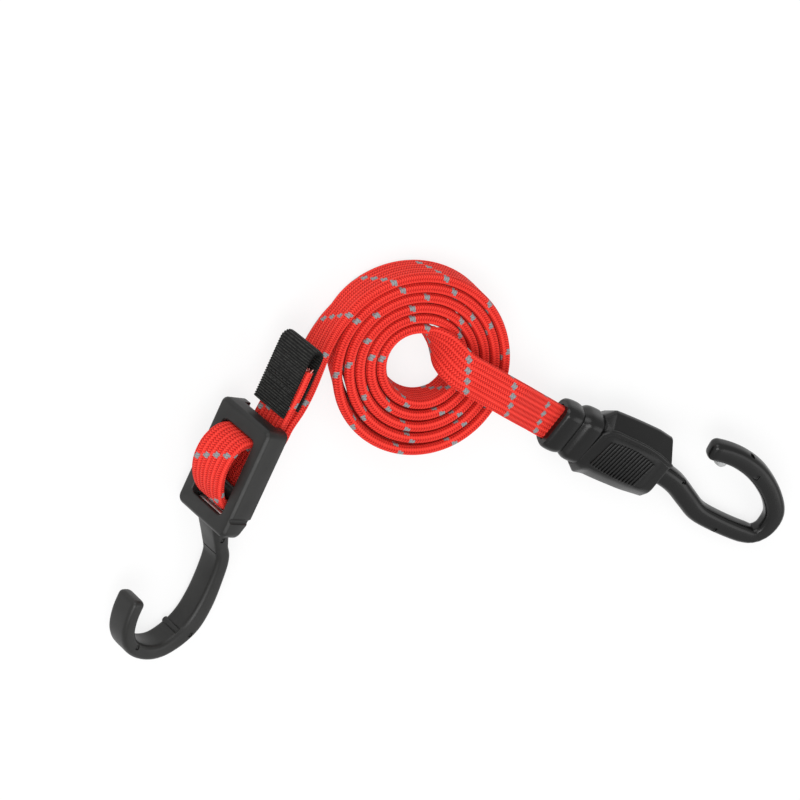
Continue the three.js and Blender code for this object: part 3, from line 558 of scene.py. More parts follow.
def braided_polyester():
    """Dyed polyester yarn braided over the rubber. Each rib is a plait of slanting stitches, painted
    lighter on the crest and on each stitch as a highlight and painted darker between the ribs as shade,
    with a grey tracer in every other rib."""
    stitch_pitch = 1.2  # millimetres
    stitch_height = 0.25
    stitch_sides = (0.04, 0.34)  # a stitch rises between these shares of its pitch
    slant = 0.7  # how far a stitch runs along the rib from its crest to its side
    plain = 0.45  # how much flatter the stitches are in the ribs without a tracer
    # how much painted highlight the crest and each stitch get, and how much the dye fades in random patches
    crest_light, stitch_light, faded_light = 0.36, 0.54, 0.16
    faded_patch = 14
    tracer_period = 26.0
    tracer_length = 2.7
    tracer_step = tracer_period / RIB_COUNT  # from one rib to the next: it winds once round the strap
    tracer_start = 16.2
    tracer_reach = 0.6  # half the width of a tracer stitch, in ribs
    tracer_jog = 0.12  # its second stitch lies a little to the side of the first
    material, add = new_finish("braided_polyester", Roughness=0.75, Sheen_Weight=0.08, Sheen_Roughness=0.45,
                               Sheen_Tint=linear("#FFB0A8"), Specular_IOR_Level=0.15)
    place = add("UVMap", uv_map="along_and_rib")
    along, rib = add("SeparateXYZ", [place]).outputs[:2]
    crest = add("Math", [rib, 0.5], "PINGPONG")
    crest = add("Math", [crest, 2.0], "MULTIPLY")
    stitch = add("Math", [crest, slant, along], "MULTIPLY_ADD")
    stitch = add("Math", [stitch, stitch_pitch], "DIVIDE")
    stitch = add("Math", [stitch, 0.5], "PINGPONG")
    stitch = add("MapRange", [stitch, *stitch_sides], interpolation_type="SMOOTHSTEP")
    other = add("Math", [rib, 0.5], "SUBTRACT")
    other = add("Math", [other, 1.0], "PINGPONG")
    stitch = add("Math", [other, plain, stitch], "MULTIPLY_ADD", use_clamp=True)
    # painted light: the crest and the stitches lighter as a highlight and the gaps between the ribs darker
    # as shade, with uneven fading of the dye
    light = add("Math", [crest, crest_light], "MULTIPLY")
    light = add("Math", [stitch, stitch_light, light], "MULTIPLY_ADD")
    where = add("TexCoord").outputs["Object"]
    faded = add("TexNoise", {"Vector": where, "Scale": 1 / (faded_patch * MM), "Detail": 3.0})
    light = add("Math", [faded, faded_light, light], "MULTIPLY_ADD")
    # the dark stop is the painted shade between the ribs and the pale stop is the painted highlight on the
    # crests and stitches
    red = add("ValToRGB", [light])
    stops = red.color_ramp.elements
    stops[0].position, stops[0].color = 0.2, linear("#8C0F0B")
    stops[1].position, stops[1].color = 1.0, linear("#F6463A")
    stops.new(0.55).color = linear("#D2261F")
    pair = add("Math", [rib, 0.5, -0.25], "MULTIPLY_ADD")
    pair = add("Math", [pair], "ROUND")
    wound = add("Math", [pair, -2 * tracer_step, along], "MULTIPLY_ADD")
    wound = add("Math", [wound, tracer_start], "SUBTRACT")
    wound = add("Math", [wound, tracer_period], "FLOORED_MODULO")
    dash = add("Math", [wound, tracer_length], "LESS_THAN")
    second = add("Math", [wound, tracer_length / 2], "LESS_THAN")
    aside = add("Math", [second, 2 * tracer_jog, rib], "MULTIPLY_ADD")
    aside = add("Math", [aside, 0.5 + tracer_jog], "SUBTRACT")
    aside = add("Math", [aside, 1.0], "PINGPONG")
    near = add("Math", [aside, tracer_reach], "LESS_THAN")
    dash = add("Math", [dash, near], "MULTIPLY")
    # the grey tracer takes the same painted highlight and shade
    grey = add("ValToRGB", [light])
    grey.color_ramp.elements[0].color = linear("#66686A")
    grey.color_ramp.elements[1].color = linear("#989A9C")
    add("Mix", {0: dash, 6: red, 7: grey}, to="Base Color", data_type="RGBA")
    add("Bump", {"Strength": 0.55, "Distance": stitch_height * MM, "Height": stitch}, to="Normal")
    return material


def moulded_nylon(name, dark, pale, roughness, shine, grain_height):
    """Injection-moulded nylon, black all through. The spark-eroded mould leaves a fine grain, and
    handling leaves it a little paler and shinier in patches."""
    grain = 0.45  # millimetres, drawn about three times as coarse as the real grain so that it shows
    patch = 16
    grain_light = 0.35  # what the grain adds to the patches
    wear = 0.06  # how much smoother or rougher the patches are
    material, add = new_finish(name, IOR=1.53, Specular_IOR_Level=shine)
    where = add("TexCoord").outputs["Object"]
    fine = add("TexNoise", {"Vector": where, "Scale": 1 / (grain * MM), "Detail": 2.0})
    broad = add("TexNoise", {"Vector": where, "Scale": 1 / (patch * MM), "Detail": 4.0})
    shade = add("Math", [fine, grain_light, broad], "MULTIPLY_ADD")
    shade = add("MapRange", [shade, 0.4, 1.0])
    add("Mix", {0: shade, 6: linear(dark), 7: linear(pale)}, to="Base Color", data_type="RGBA")
    add("MapRange", [broad, 0.3, 0.7, roughness + wear, roughness - wear], to="Roughness")
    add("Bump", {"Strength": 0.35, "Distance": grain_height * MM, "Height": fine}, to="Normal")
    return material


def grosgrain_webbing():
    """Black polypropylene webbing woven with heavy cross ribs. The yarns over each rib are painted paler as
    a highlight and the gaps between ribs are painted black as shade."""
    yarn = 0.55  # millimetres
    yarn_height = 0.2
    worn_patch = 1.6
    material, add = new_finish("grosgrain_webbing", Roughness=0.7, Sheen_Weight=0.03,
                               Specular_IOR_Level=0.2)
    place = add("UVMap", uv_map="along_and_across")
    along, across = add("SeparateXYZ", [place]).outputs[:2]
    crest = add("Math", [along, TAB_RIB_PITCH], "DIVIDE")
    crest = add("Math", [crest, 0.5], "PINGPONG")
    crest = add("Math", [crest, 2.0], "MULTIPLY")
    yarns = add("Math", [across, yarn], "DIVIDE")
    yarns = add("Math", [yarns, 0.5], "PINGPONG")
    where = add("TexCoord").outputs["Object"]
    worn = add("TexNoise", {"Vector": where, "Scale": 1 / (worn_patch * MM), "Detail": 3.0})
    # painted highlight on each yarn over a rib and painted shade in the gaps between ribs, broken up in
    # small random patches
    light = add("Math", [crest, yarns], "MULTIPLY")
    light = add("Math", [light, worn], "MULTIPLY")
    light = add("MapRange", [light, 0.06, 0.32])
    add("Mix", {0: light, 6: linear("#060606"), 7: linear("#565652")}, to="Base Color", data_type="RGBA")
    add("Bump", {"Strength": 0.5, "Distance": yarn_height * MM, "Height": yarns}, to="Normal")
    return material


def clouded_finish(name, spot, detail, dark, pale, roughness=None, **sockets):
    """Two shades that cloud into each other in spots of so many millimetres, and a roughness that may
    go with them."""
    material, add = new_finish(name, **sockets)
    where = add("TexCoord").outputs["Object"]
    cloud = add("TexNoise", {"Vector": where, "Scale": 1 / (spot * MM), "Detail": detail})
    add("Mix", {0: cloud, 6: linear(dark), 7: linear(pale)}, to="Base Color", data_type="RGBA")
    if roughness:
        add("MapRange", [cloud, 0.0, 1.0, *roughness], to="Roughness")
    return material


def twisted_thread():
    """Black bonded polyester thread, two plies twisted together, with a faint painted sheen on each turn.
    """
    twist = 0.7  # millimetres from one turn to the next
    material, add = new_finish("twisted_thread", Roughness=0.6, Specular_IOR_Level=0.3)
    where = add("TexCoord").outputs["Object"]
    # lighter diagonal bands: painted sheen on each turn of the plies
    turns = add("TexWave", {"Vector": where, "Scale": 0.5 / (twist * MM)}, bands_direction="DIAGONAL")
    shade = turns.outputs["Fac"]
    add("Mix", {0: shade, 6: linear("#0D0D0D"), 7: linear("#2B2B2A")}, to="Base Color", data_type="RGBA")
    return material


BRAID = braided_polyester()
MATTE_NYLON = moulded_nylon("matte_moulded_nylon", "#151514", "#242423", 0.44, 0.34, 0.05)
SATIN_NYLON = moulded_nylon("satin_moulded_nylon", "#0D0D0D", "#181818", 0.28, 0.3, 0.025)
# Bright drawn wire, with a shine that is faintly uneven
STEEL = clouded_finish("drawn_steel", 0.6, 2.0, "#B4B2B0", "#D8D6D3", (0.3, 0.5), Metallic=1.0)
WEBBING = grosgrain_webbing()
# Soft grey rubber, slightly clouded and a little see-through at its edge
RUBBER = clouded_finish("soft_grey_rubber", 1.8, 4.0, "#8A8B8B", "#C2C3C3", Roughness=0.5,
                        Subsurface_Weight=0.25, Subsurface_Radius=[1.5 * MM] * 3)
THREAD = twisted_thread()
# Strands of latex and yarn at a cut end, mottled from bleached pink to the braid's red
LATEX = clouded_finish("cut_latex", 0.8, 2.0, "#D8352C", "#F6C4BC", Roughness=0.7, Specular_IOR_Level=0.25)


def finish_piece(piece, material, body, slot, *nodes):
    """Gives a piece its material and its body, and hides the nodes that it stands for."""
    piece.data.materials.clear()
    piece.data.materials.append(material)
    if body:
        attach(piece, body)
    if nodes:
        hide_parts(*nodes)


def fit(piece, material, body, slot, *nodes, crease=35):
    """Sets a piece in its place, from millimetres in its end's own axes, and finishes it."""
    at_grip_end = body == "fixed_hook"
    pick(piece)
    piece.scale = (MM, MM, MM)
    piece.rotation_euler = [radians(angle) for angle in (GRIP_TURN if at_grip_end else ADJUSTER_TURN)]
    piece.location = (GRIP_ORIGIN if at_grip_end else ADJUSTER_ORIGIN) * MM
    bpy.ops.object.transform_apply()
    bpy.ops.object.shade_smooth_by_angle(angle=radians(crease))
    finish_piece(piece, material, body, slot, *nodes)


# Adjuster


def window_tool():
    """What cuts the window: flared a little at both faces of the frame."""
    spread = 4 * WINDOW_FLARE
    length, width = WINDOW_LENGTH + spread, WINDOW_WIDTH + spread
    piece = round_plate("window", length, width, WINDOW_CORNER + spread / 2, (0, 0, WINDOW_FLARE))
    narrow = (WINDOW_LENGTH / length, WINDOW_WIDTH / width, 1)
    pull_out((0, 0, -2 * WINDOW_FLARE))
    resize(narrow, (0, 0, 0))
    pull_out((0, 0, 2 * WINDOW_FLARE - FRAME_DEPTH))
    pull_out((0, 0, -2 * WINDOW_FLARE))
    resize([1 / share for share in narrow], (0, 0, 0))
    close_up()
    return piece


def adjuster_frame():
    piece = round_plate("adjuster_moulding", FRAME_LENGTH, FRAME_WIDTH, FRAME_CORNER, (0, 0, 0), segments=8)
    pull_out((0, 0, -FRAME_DEPTH))
    bpy.ops.mesh.select_all(action="SELECT")
    slope_start = (FRAME_LENGTH / 2 - FRAME_SLOPE_LENGTH, 0, -FRAME_DEPTH)
    slope = radians(FRAME_SLOPE)
    bpy.ops.mesh.bisect(plane_co=slope_start, plane_no=(sin(slope), 0, -cos(slope)), use_fill=True,
                        clear_outer=True)
    choose(piece, "EDGE", lambda edge: all(vert.co.z > -0.01 for vert in edge.verts))
    bpy.ops.mesh.bevel(offset=FRAME_CHAMFER, segments=1, affect="EDGES")
    close_up()
    soften(piece, EDGE_SOFTENING, 30)
    scoop = round_bar("scoop", (-FRAME_LENGTH / 2, 0, -FRAME_DEPTH), FRAME_SCOOP, WINDOW_WIDTH)
    groove = round_bar("groove", SIDE_GROOVE_PLACE, SIDE_GROOVE_RADIUS, 2 * FRAME_DEPTH, (0, 0, 0), 24)
    join_or_cut(piece, "DIFFERENCE", window_tool(), scoop, groove)
    return piece


def adjuster_moulding():
    piece = adjuster_frame()
    bar = round_bar("bar", BAR_PLACE, BAR_RADIUS, WINDOW_WIDTH + 2 * BAR_OVERLAP)
    rows = [(x, ADJUSTER_HOOK_SIDE, z, swell) for x, z, swell in ADJUSTER_HOOK_LINE]
    arm = hook_arm("arm", rows, "Y", ADJUSTER_HOOK_SECTION, ADJUSTER_TIP, ADJUSTER_STEP, ADJUSTER_NECK)
    ridge = round_bar("ridge", RIDGE_PLACE, RIDGE_RADIUS, RIDGE_LENGTH)
    join_or_cut(piece, "UNION", bar, arm, ridge)
    crease = round_bar("crease", CREASE_PLACE, CREASE_RADIUS, CREASE_LENGTH, sides=12)
    room = 2 * (ROD_RADIUS + POCKET_GAP)
    pocket_place = (ROD_PLACE[0] - POCKET_SHIFT, *ROD_PLACE[1:])
    pocket = block("pocket", pocket_place, (room, ROD_LENGTH + 1, room), POCKET_ROUNDING)
    marks = [block("mark", place, ADJUSTER_MARK_SIZE, MARK_ROUNDING) for place in ADJUSTER_MARKS]
    join_or_cut(piece, "DIFFERENCE", crease, pocket, *marks)
    rest_on_table(piece, ADJUSTER_ORIGIN, ADJUSTER_AXES)
    fit(piece, MATTE_NYLON, "adjuster", "matte_nylon", "adjuster_frame_hook", crease=30)


def adjuster_rod():
    """The steel core: a crossbar that shows in the window, with the hook's wire joined to it."""
    piece = round_bar("adjuster_rod", ROD_PLACE, ROD_RADIUS, ROD_LENGTH)
    soften(piece, ROD_BEVEL, 35)
    rows = [ROD_PLACE] + [(x, 0, z) for x, z, swell in ADJUSTER_HOOK_LINE[1:-1]]
    section = (2 * ROD_RADIUS, 2 * ROD_RADIUS, 0.98 * ROD_RADIUS)
    join_or_cut(piece, "UNION", hook_arm("wire", rows, "Y", section, WIRE_TIP, WIRE_STEP))
    fit(piece, STEEL, "adjuster", "steel", "adjuster_wire_core")


# Grip and fixed hook


def collar_rings():
    profile = [Vector(row) for row in RING_PROFILE]
    rows = [row for row, index, share in smooth_line(profile, RING_STEP)]
    size = [(STRAP_WIDTH + 2 * row.y, STRAP_THICKNESS + 2 * row.z) for row in rows]
    across, up = size[0]
    rounding = RING_ROUND * up / (STRAP_THICKNESS + 2 * RING_PROFILE[3][2])
    piece = round_plate("collar", up, across, rounding, (rows[0].x, 0, 0), (0, pi / 2, 0), segments=8)
    for index in range(1, len(rows)):
        pull_out((rows[index].x - rows[index - 1].x, 0, 0))
        shares = [after / before for before, after in zip(size[index - 1], size[index])]
        resize((1, *shares), (rows[index].x, 0, 0))
    close_up()
    return piece


def grip_body():
    x, wide, thick = BODY_PROFILE[0]
    start_fresh()
    bpy.ops.mesh.primitive_plane_add(size=1, location=(x, 0, 0), rotation=(0, pi / 2, 0))
    bpy.context.object.scale = (2 * BODY_EDGE, 2 * BODY_HALF_WIDTH, 1)
    piece = named("grip_moulding")
    bpy.ops.object.mode_set(mode="EDIT")
    for side in (1, -1):
        choose(piece, "EDGE", lambda edge: all(side * vert.co.z > 0.9 * BODY_EDGE for vert in edge.verts))
        rise = side * (BODY_HALF_THICKNESS - BODY_EDGE)
        bpy.ops.mesh.extrude_edges_move(TRANSFORM_OT_translate={"value": (0, 0, rise)})
        resize((1, BODY_FACE_HALF_WIDTH / BODY_HALF_WIDTH, 1), (x, 0, 0))
        bpy.ops.transform.translate(value=(0, BODY_FACE_MIDDLE, 0))
    bpy.ops.mesh.select_mode(type="FACE")
    bpy.ops.mesh.select_all(action="SELECT")
    resize((1, wide, thick), (x, 0, 0))
    half = Vector((1, BODY_HALF_WIDTH, BODY_HALF_THICKNESS))
    rows = [half * Vector(row) for row in BODY_PROFILE]
    stations = [rows[0]] + [row for row, index, share in smooth_line(rows[1:], BODY_STEP)]
    for before, after in zip(stations, stations[1:]):
        pull_out((after.x - before.x, 0, 0))
        resize((1, after.y / before.y, after.z / before.z), (after.x, 0, 0))
    shape_body(piece)
    soften_palm_edge(piece)
    close_up()
    soften(piece, BODY_BEVEL, 16)
    return piece


def shape_body(piece):
    """Sweeps the face's rim edge in, flattens the palm side and slants both ends."""
    mesh = bmesh.from_edit_mesh(piece.data)
    for vert in mesh.verts:
        x, y, z = vert.co
        if y > 0 and z > FACE_LEVEL:
            y += RIM_EDGE_SWEEP[2] * share_of(x, *RIM_EDGE_SWEEP[:2]) ** 2
        if y < 0 and abs(z) < EDGE_LEVEL:
            y += PALM_EDGE[0]
            z += PALM_EDGE[1] if z > 0 else 0
        front, end = share_of(x, *FRONT_SLANT[:2]), share_of(x, *END_SLANT[:2])
        y -= FRONT_SPREAD * front if y < 0 else 0
        x -= front * FRONT_SLANT[3] * (FRONT_SLANT[2] - y)
        x -= end * END_SLANT[3] * max(0, y - END_SLANT[2])
        vert.co = (x, y, z)
    bmesh.update_edit_mesh(piece.data)


def soften_palm_edge(piece):
    """Rounds the long edge of the grip's face on the side that the palm closes round."""

    def on_palm_edge(edge):
        first, second = [vert.co for vert in edge.verts]
        lengthwise = abs(second.x - first.x) > abs(second.y - first.y)
        return lengthwise and all(at.z > EDGE_LEVEL and at.y < 0 for at in (first, second))

    choose(piece, "EDGE", on_palm_edge)
    bpy.ops.mesh.bevel(offset=BODY_SOFT_EDGE, segments=6, affect="EDGES")


def grip_moulding():
    piece = grip_body()
    rows = [(x, y, 0, swell) for x, y, swell in FIXED_HOOK_LINE]
    arm = hook_arm("arm", rows, "Z", FIXED_HOOK_SECTION, FIXED_HOOK_TIP, FIXED_HOOK_STEP, FIXED_HOOK_STEM)
    rim = hook_arm("rim", RIM_LINE, "Z", RIM_SECTION, RIM_TIP, RIM_STEP)
    join_or_cut(piece, "UNION", collar_rings(), arm, rim)
    slot = round_plate("slot", STRAP_THICKNESS + 2 * SLOT_GAP, STRAP_WIDTH + 2 * SLOT_GAP, SLOT_ROUNDING,
                       (SLOT_START, 0, 0), (0, pi / 2, 0))
    pull_out((SLOT_END - SLOT_START, 0, 0))
    close_up()
    marks = [block("mark", place, PIN_MARK_SIZE, MARK_ROUNDING) for place in PIN_MARKS]
    join_or_cut(piece, "DIFFERENCE", slot, *marks)
    rest_on_table(piece, GRIP_ORIGIN, GRIP_AXES)
    fit(piece, SATIN_NYLON, "fixed_hook", "polished_nylon", "grip_hook_moulding")


def grip_cover():
    """The cover over the crimp: a low crowned plate with thumb ribs across it."""
    length, width = COVER_SIZE
    piece = round_plate("grip_cover_plate", length, width, COVER_CORNER, (COVER_MIDDLE, 0, COVER_FLOOR))
    pull_out((0, 0, COVER_FACE - COVER_FLOOR))
    height, inset = 0, 0
    for step in range(1, COVER_STEPS + 1):
        rise = (COVER_TOP - COVER_FACE) * (1 - cos(pi * step / COVER_STEPS)) / 2
        step_in = COVER_CROWN * step / COVER_STEPS
        narrow = [(side - 2 * step_in) / (side - 2 * inset) for side in COVER_SIZE]
        pull_out((0, 0, rise - height))
        resize((*narrow, 1), (COVER_MIDDLE, 0, 0))
        height, inset = rise, step_in
    close_up()
    wide, long, tall = GRIP_RIB_SIZE
    bars = []
    for rib in range(GRIP_RIBS):
        share = rib / (GRIP_RIBS - 1)
        side = GRIP_RIB_MIDDLE + GRIP_RIB_SWEEP * share ** 2
        place = (GRIP_RIB_START + rib * GRIP_RIB_PITCH, side, GRIP_RIB_TOP - tall / 2)
        size = (wide, long - GRIP_RIB_SHORTER * (2 * share - 1) ** 2, tall)
        bars.append(block("thumb_rib", place, size, GRIP_RIB_ROUNDING, (0, 0, radians(GRIP_RIB_SLANT))))
    join_or_cut(piece, "UNION", *bars)
    fit(piece, SATIN_NYLON, "fixed_hook", "polished_nylon", "grip_cover")


def tip_pad():
    """The soft nub pressed into the hook's tip."""
    start_fresh()
    bpy.ops.mesh.primitive_uv_sphere_add(segments=32, ring_count=20, radius=PAD_RADIUS, location=PAD_PLACE,
                                         rotation=(pi / 2, 0, 0))
    piece = named("hook_tip_nub")
    level = PAD_PLACE[1] - PAD_FLAT * PAD_RADIUS
    bpy.ops.object.mode_set(mode="EDIT")
    choose(piece, "VERT", lambda vert: vert.co.y < level)
    resize(PAD_SQUASH, (PAD_PLACE[0], level, 0))
    close_up()
    fit(piece, RUBBER, "fixed_hook", "pale_rubber", "hook_tip_pad")


adjuster_moulding()
adjuster_rod()
grip_moulding()
grip_cover()
tip_pad()
for hidden in ("grip_wire_core", "strap_crimp", "crimp_pin"):
    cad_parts[hidden].data.materials.clear()
    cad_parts[hidden].data.materials.append(STEEL)


# Strap and webbing: skins drawn through rows of points


def at_adjuster(x, y, z):
    return ADJUSTER_ORIGIN + ADJUSTER_AXES @ Vector((x, y, z))


def at_grip(x, y, z):
    return GRIP_ORIGIN + GRIP_AXES @ Vector((x, y, z))


def skin(name, rows, places, uv_name):
    """A closed tube through rows of points in millimetres. Each row is a ring, and places gives each
    ring's first UV number and each point's second one, with one more for the way back round."""
    sides = len(rows[0])
    verts = [point * MM for row in rows for point in row]
    faces = []
    for ring in range(len(rows) - 1):
        for side in range(sides):
            first, second = ring * sides + side, ring * sides + (side + 1) % sides
            faces.append((first, second, second + sides, first + sides))
    faces.append(tuple(reversed(range(sides))))
    faces.append(tuple(range((len(rows) - 1) * sides, len(rows) * sides)))
    mesh = bpy.data.meshes.new(name)
    mesh.from_pydata(verts, [], faces)
    along, round_about = places
    layer = mesh.uv_layers.new(name=uv_name)
    for polygon in mesh.polygons:
        ring, side = divmod(polygon.index, sides)
        for corner, loop in enumerate(polygon.loop_indices):
            if polygon.index >= (len(rows) - 1) * sides:
                vert = mesh.loops[loop].vertex_index
                layer.data[loop].uv = (along[vert // sides], round_about[vert % sides])
            else:
                up, over = (0, 0, 1, 1)[corner], (0, 1, 1, 0)[corner]
                layer.data[loop].uv = (along[ring + up], round_about[side + over])
    piece = bpy.data.objects.new(name, mesh)
    bpy.context.collection.objects.link(piece)
    pick(piece)
    bpy.ops.object.shade_smooth_by_angle(angle=radians(STRAP_CREASE))
    return piece


def coil_knot(degrees):
    """The strap's middle and the direction of its width at an angle of the coil."""
    angle = radians(degrees)
    turn = degrees / 360
    outward = Vector((cos(angle), sin(angle), 0))
    slack, tight = [max(0, cos(angle - radians(side))) for side in (COIL_SLACK_SIDE, COIL_TIGHT_SIDE)]
    tight *= share_of(turn, *COIL_TIGHT_TURNS)
    lean = radians((COIL_LEAN + COIL_LEAN_GROWTH * turn) * slack * (1 - tight) + COIL_TIGHT_LEAN * tight)
    shift = [COIL_SHIFT[axis] + COIL_DRIFT[axis] * turn for axis in (0, 1)]
    upper = COIL_CORE_RADIUS + COIL_PITCH * turn + COIL_SQUASH * sin(2 * angle)
    upper += shift[0] * outward.x + shift[1] * outward.y
    upper -= COIL_GAP * slack ** 2 * (1 - share_of(turn, *COIL_GAP_TURNS))
    radius = upper - sin(lean) * STRAP_WIDTH / 2
    height = cos(lean) * STRAP_WIDTH / 2 + abs(sin(lean)) * (STRAP_THICKNESS / 2 - STRAP_EDGE) + COIL_LIFT
    at = COIL_ORIGIN + Vector((*COIL_CENTRE, height)) + radius * outward
    return at, Vector((0, 0, cos(lean))) + outward * sin(lean)


def route_knots(route):
    """A free stretch's knots, each with its width leaning to the left of its way."""
    up = Vector((0, 0, 1))
    points = [COIL_ORIGIN + Vector(row[:3]) for row in route]
    knots = []
    for at, way, row in zip(points, ways(points), route):
        left = up.cross(way).normalized()
        lean = radians(row[3])
        knots.append((at, up * cos(lean) + left * sin(lean)))
    return knots


def adjuster_knots(route):
    knots = []
    for x, z, tilt, *side in route:
        across = ADJUSTER_AXES @ Vector((0, cos(radians(tilt)), -sin(radians(tilt))))
        knots.append((at_adjuster(x, LOOP_SHIFT * tilt + sum(side), z), across))
    return knots


# One line for the whole strap, from its end in the grip to the tail's cut end
grip_across = GRIP_AXES @ Vector((0, 1, 0))
knots = [(at_grip(x, 0, 0), grip_across) for x in (STRAP_END, STRAP_END / 2, 4, 0)]
MOUTH = len(knots) - 1
knots += list(reversed(route_knots(LEAD_ROUTE)))
COIL_IN = len(knots)
coil_steps = round((COIL_END - COIL_START) / COIL_KNOT_STEP)
knots += [coil_knot(COIL_START + (COIL_END - COIL_START) * i / coil_steps) for i in range(coil_steps + 1)]
COIL_OUT = len(knots) - 1
knots += route_knots(RUN_ROUTE)
LOOP_IN = len(knots)
knots += adjuster_knots(LOOP_ROUTE)
LOOP_OUT = len(knots) - 1
knots += adjuster_knots(TAIL_ROUTE)
TAIL_OUT = len(knots) - 1

strap_line = smooth_line([at for at, across in knots], STRAP_STEP)
strap_ways = ways([at for at, index, share in strap_line])
strap_lengths = lengths_along([at for at, index, share in strap_line])
braid_lengths = [0.0]
for (at, index, share), before, after in zip(strap_line, strap_lengths, strap_lengths[1:]):
    slack = 1
    if COIL_OUT <= index < LOOP_IN + BULGE_KNOT:
        slack = LOOSE_SLACK
    elif LOOP_IN + BULGE_KNOT <= index < LOOP_OUT:
        slack = BUNCHED_SLACK
    braid_lengths.append(braid_lengths[-1] + (after - before) * slack)


def braid_outline():
    """The strap's section: points across the width and through the thickness, with a rib number for
    each. It starts in the middle of the lower edge and goes up the face that the lead shows."""
    round_end = STRAP_THICKNESS / 2 - RIB_DEPTH
    flat = STRAP_WIDTH - 2 * RIB_DEPTH - 2 * round_end
    girth = 2 * flat + 2 * pi * round_end
    outline = []
    for rib in range(RIB_COUNT):
        for part in RIB_POINTS:
            distance = (rib + part) / RIB_COUNT * girth
            half, distance = divmod(distance, girth / 2)
            swing = pi * round_end / 2
            if distance < swing:
                angle = distance / round_end
                middle, normal = -flat / 2, (-cos(angle), -sin(angle))
            elif distance < swing + flat:
                middle, normal = -flat / 2 + distance - swing, (0, -1)
            else:
                angle = (distance - swing - flat) / round_end
                middle, normal = flat / 2, (sin(angle), -cos(angle))
            reach = round_end + RIB_DEPTH * sqrt(sin(pi * part))
            side = -1 if half else 1
            outline.append((side * (middle + reach * normal[0]), side * reach * normal[1], rib + part - 1))
    return outline


OUTLINE = braid_outline()


def strap_piece(name, first, last):
    """The stretch of strap from one knot to another."""
    rows, along, lengths = [], [], []
    for place, (at, index, share) in enumerate(strap_line):
        if not first <= index + share <= last:
            continue
        way = strap_ways[place]
        across = knots[index][1].lerp(knots[min(index + 1, TAIL_OUT)][1], share)
        across = (across - way * across.dot(way)).normalized()
        through = way.cross(across)
        rows.append([at + across * w + through * t for w, t, rib in OUTLINE])
        along.append(braid_lengths[place])
        lengths.append(strap_lengths[place])
    round_about = [rib for w, t, rib in OUTLINE]
    round_about.append(round_about[0] + RIB_COUNT)
    piece = skin(name, rows, (along, round_about), "along_and_rib")
    return piece, (lengths[-1] - lengths[0]) * MM


def lay_strap(name, first, last, held, rests_on, body, *nodes):
    piece, length = strap_piece(name, first, last)
    finish_piece(piece, BRAID, body, "woven_polyester", *nodes)
    return piece


lay_strap("strap_end", 0, MOUTH, "stretched", ["grip_moulding"], "fixed_hook", "end_sheath", "end_rubber")
lay_strap("strap_coil", COIL_IN, COIL_OUT, "laid", [], "coil", "coil_sheath", "coil_rubber")
lead = lay_strap("strap_lead", MOUTH, COIL_IN, "draped", ["strap_coil"], None, "lead_sheath", "lead_rubber")
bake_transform(lead)
run = lay_strap("strap_run", COIL_OUT, LOOP_IN, "draped", ["strap_coil"], None, "run_sheath", "run_rubber")
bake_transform(run)
lay_strap("strap_round_bar", LOOP_IN, LOOP_IN + BAR_KNOT, "folded", ["adjuster_moulding"], "adjuster",
          "loop_sheath", "loop_rubber")
bulge = lay_strap("strap_bulge", LOOP_IN + BAR_KNOT, LOOP_IN + BULGE_KNOT, "folded", ["adjuster_moulding"],
                  "adjuster")
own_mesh(bulge)
back = lay_strap("strap_way_out", LOOP_IN + BULGE_KNOT, LOOP_OUT, "folded", ["adjuster_moulding"], None)
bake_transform(back)
lay_strap("strap_tail", LOOP_OUT, TAIL_OUT, "laid", ["adjuster_moulding"], "tail",
          "tail_sheath", "tail_rubber")


def pull_tab():
    """Ribbed webbing folded round the tail's cut end."""
    front, back = TAB_MIDDLE + TAB_OFFSET, TAB_MIDDLE - TAB_OFFSET
    fold = [Vector((TAB_FRONT_END, 0, front)), Vector(((TAB_FRONT_END + TAB_FOLD) / 2, 0, front))]
    for degrees in range(0, 181, TAB_FOLD_STEP):
        angle = radians(degrees)
        fold.append(Vector((TAB_FOLD - TAB_OFFSET * sin(angle), 0, TAB_MIDDLE + TAB_OFFSET * cos(angle))))
    fold += [Vector(((TAB_BACK_END + TAB_FOLD) / 2, 0, back)), Vector((TAB_BACK_END, 0, back))]
    line = [at for at, index, share in smooth_line(fold, TAB_RIB_PITCH / 5)]
    lengths = lengths_along(line)
    half_width, half_thickness = TAB_WIDTH / 2, TAB_THICKNESS / 2
    across = [-1 + 2 * step / TAB_PARTS for step in range(TAB_PARTS + 1)]
    rows = []
    for at, way, length in zip(line, ways(line), lengths):
        out = Vector((way.z, 0, -way.x))
        rise = sqrt(abs(sin(pi * length / TAB_RIB_PITCH)))
        thick = half_thickness - TAB_RIB_DEPTH * (1 - rise)
        wide = half_width - TAB_RIB_DEPTH * (1 - rise)
        row = []
        for face, order in ((out, across), (-out, across[::-1])):
            for w in order:
                reach = thick * (TAB_EDGE_SHARE if abs(w) == 1 else 1)
                row.append(at + Vector((0, wide * w, 0)) + face * reach)
        rows.append([at_adjuster(*point) for point in row])
    round_about = [half_width * w for w in across] + [half_width * w for w in across[::-1]]
    round_about.append(round_about[0])
    piece = skin("pull_tab_webbing", rows, (lengths, round_about), "along_and_across")
    finish_piece(piece, WEBBING, "tail", "ribbed_webbing", "pull_tab")


def copies_of(piece, places):
    """One piece made of copies at places, each with its turn about x, y and z in degrees."""
    copies = []
    for at, turn in places:
        copy = piece.copy()
        copy.data = piece.data.copy()
        bpy.context.collection.objects.link(copy)
        copy.location = at
        copy.rotation_euler = [radians(angle) for angle in turn]
        copies.append(copy)
    name = piece.name
    bpy.data.objects.remove(piece)
    start_fresh()
    for copy in copies:
        copy.select_set(True)
    bpy.context.view_layer.objects.active = copies[0]
    bpy.ops.object.join()
    return named(name)


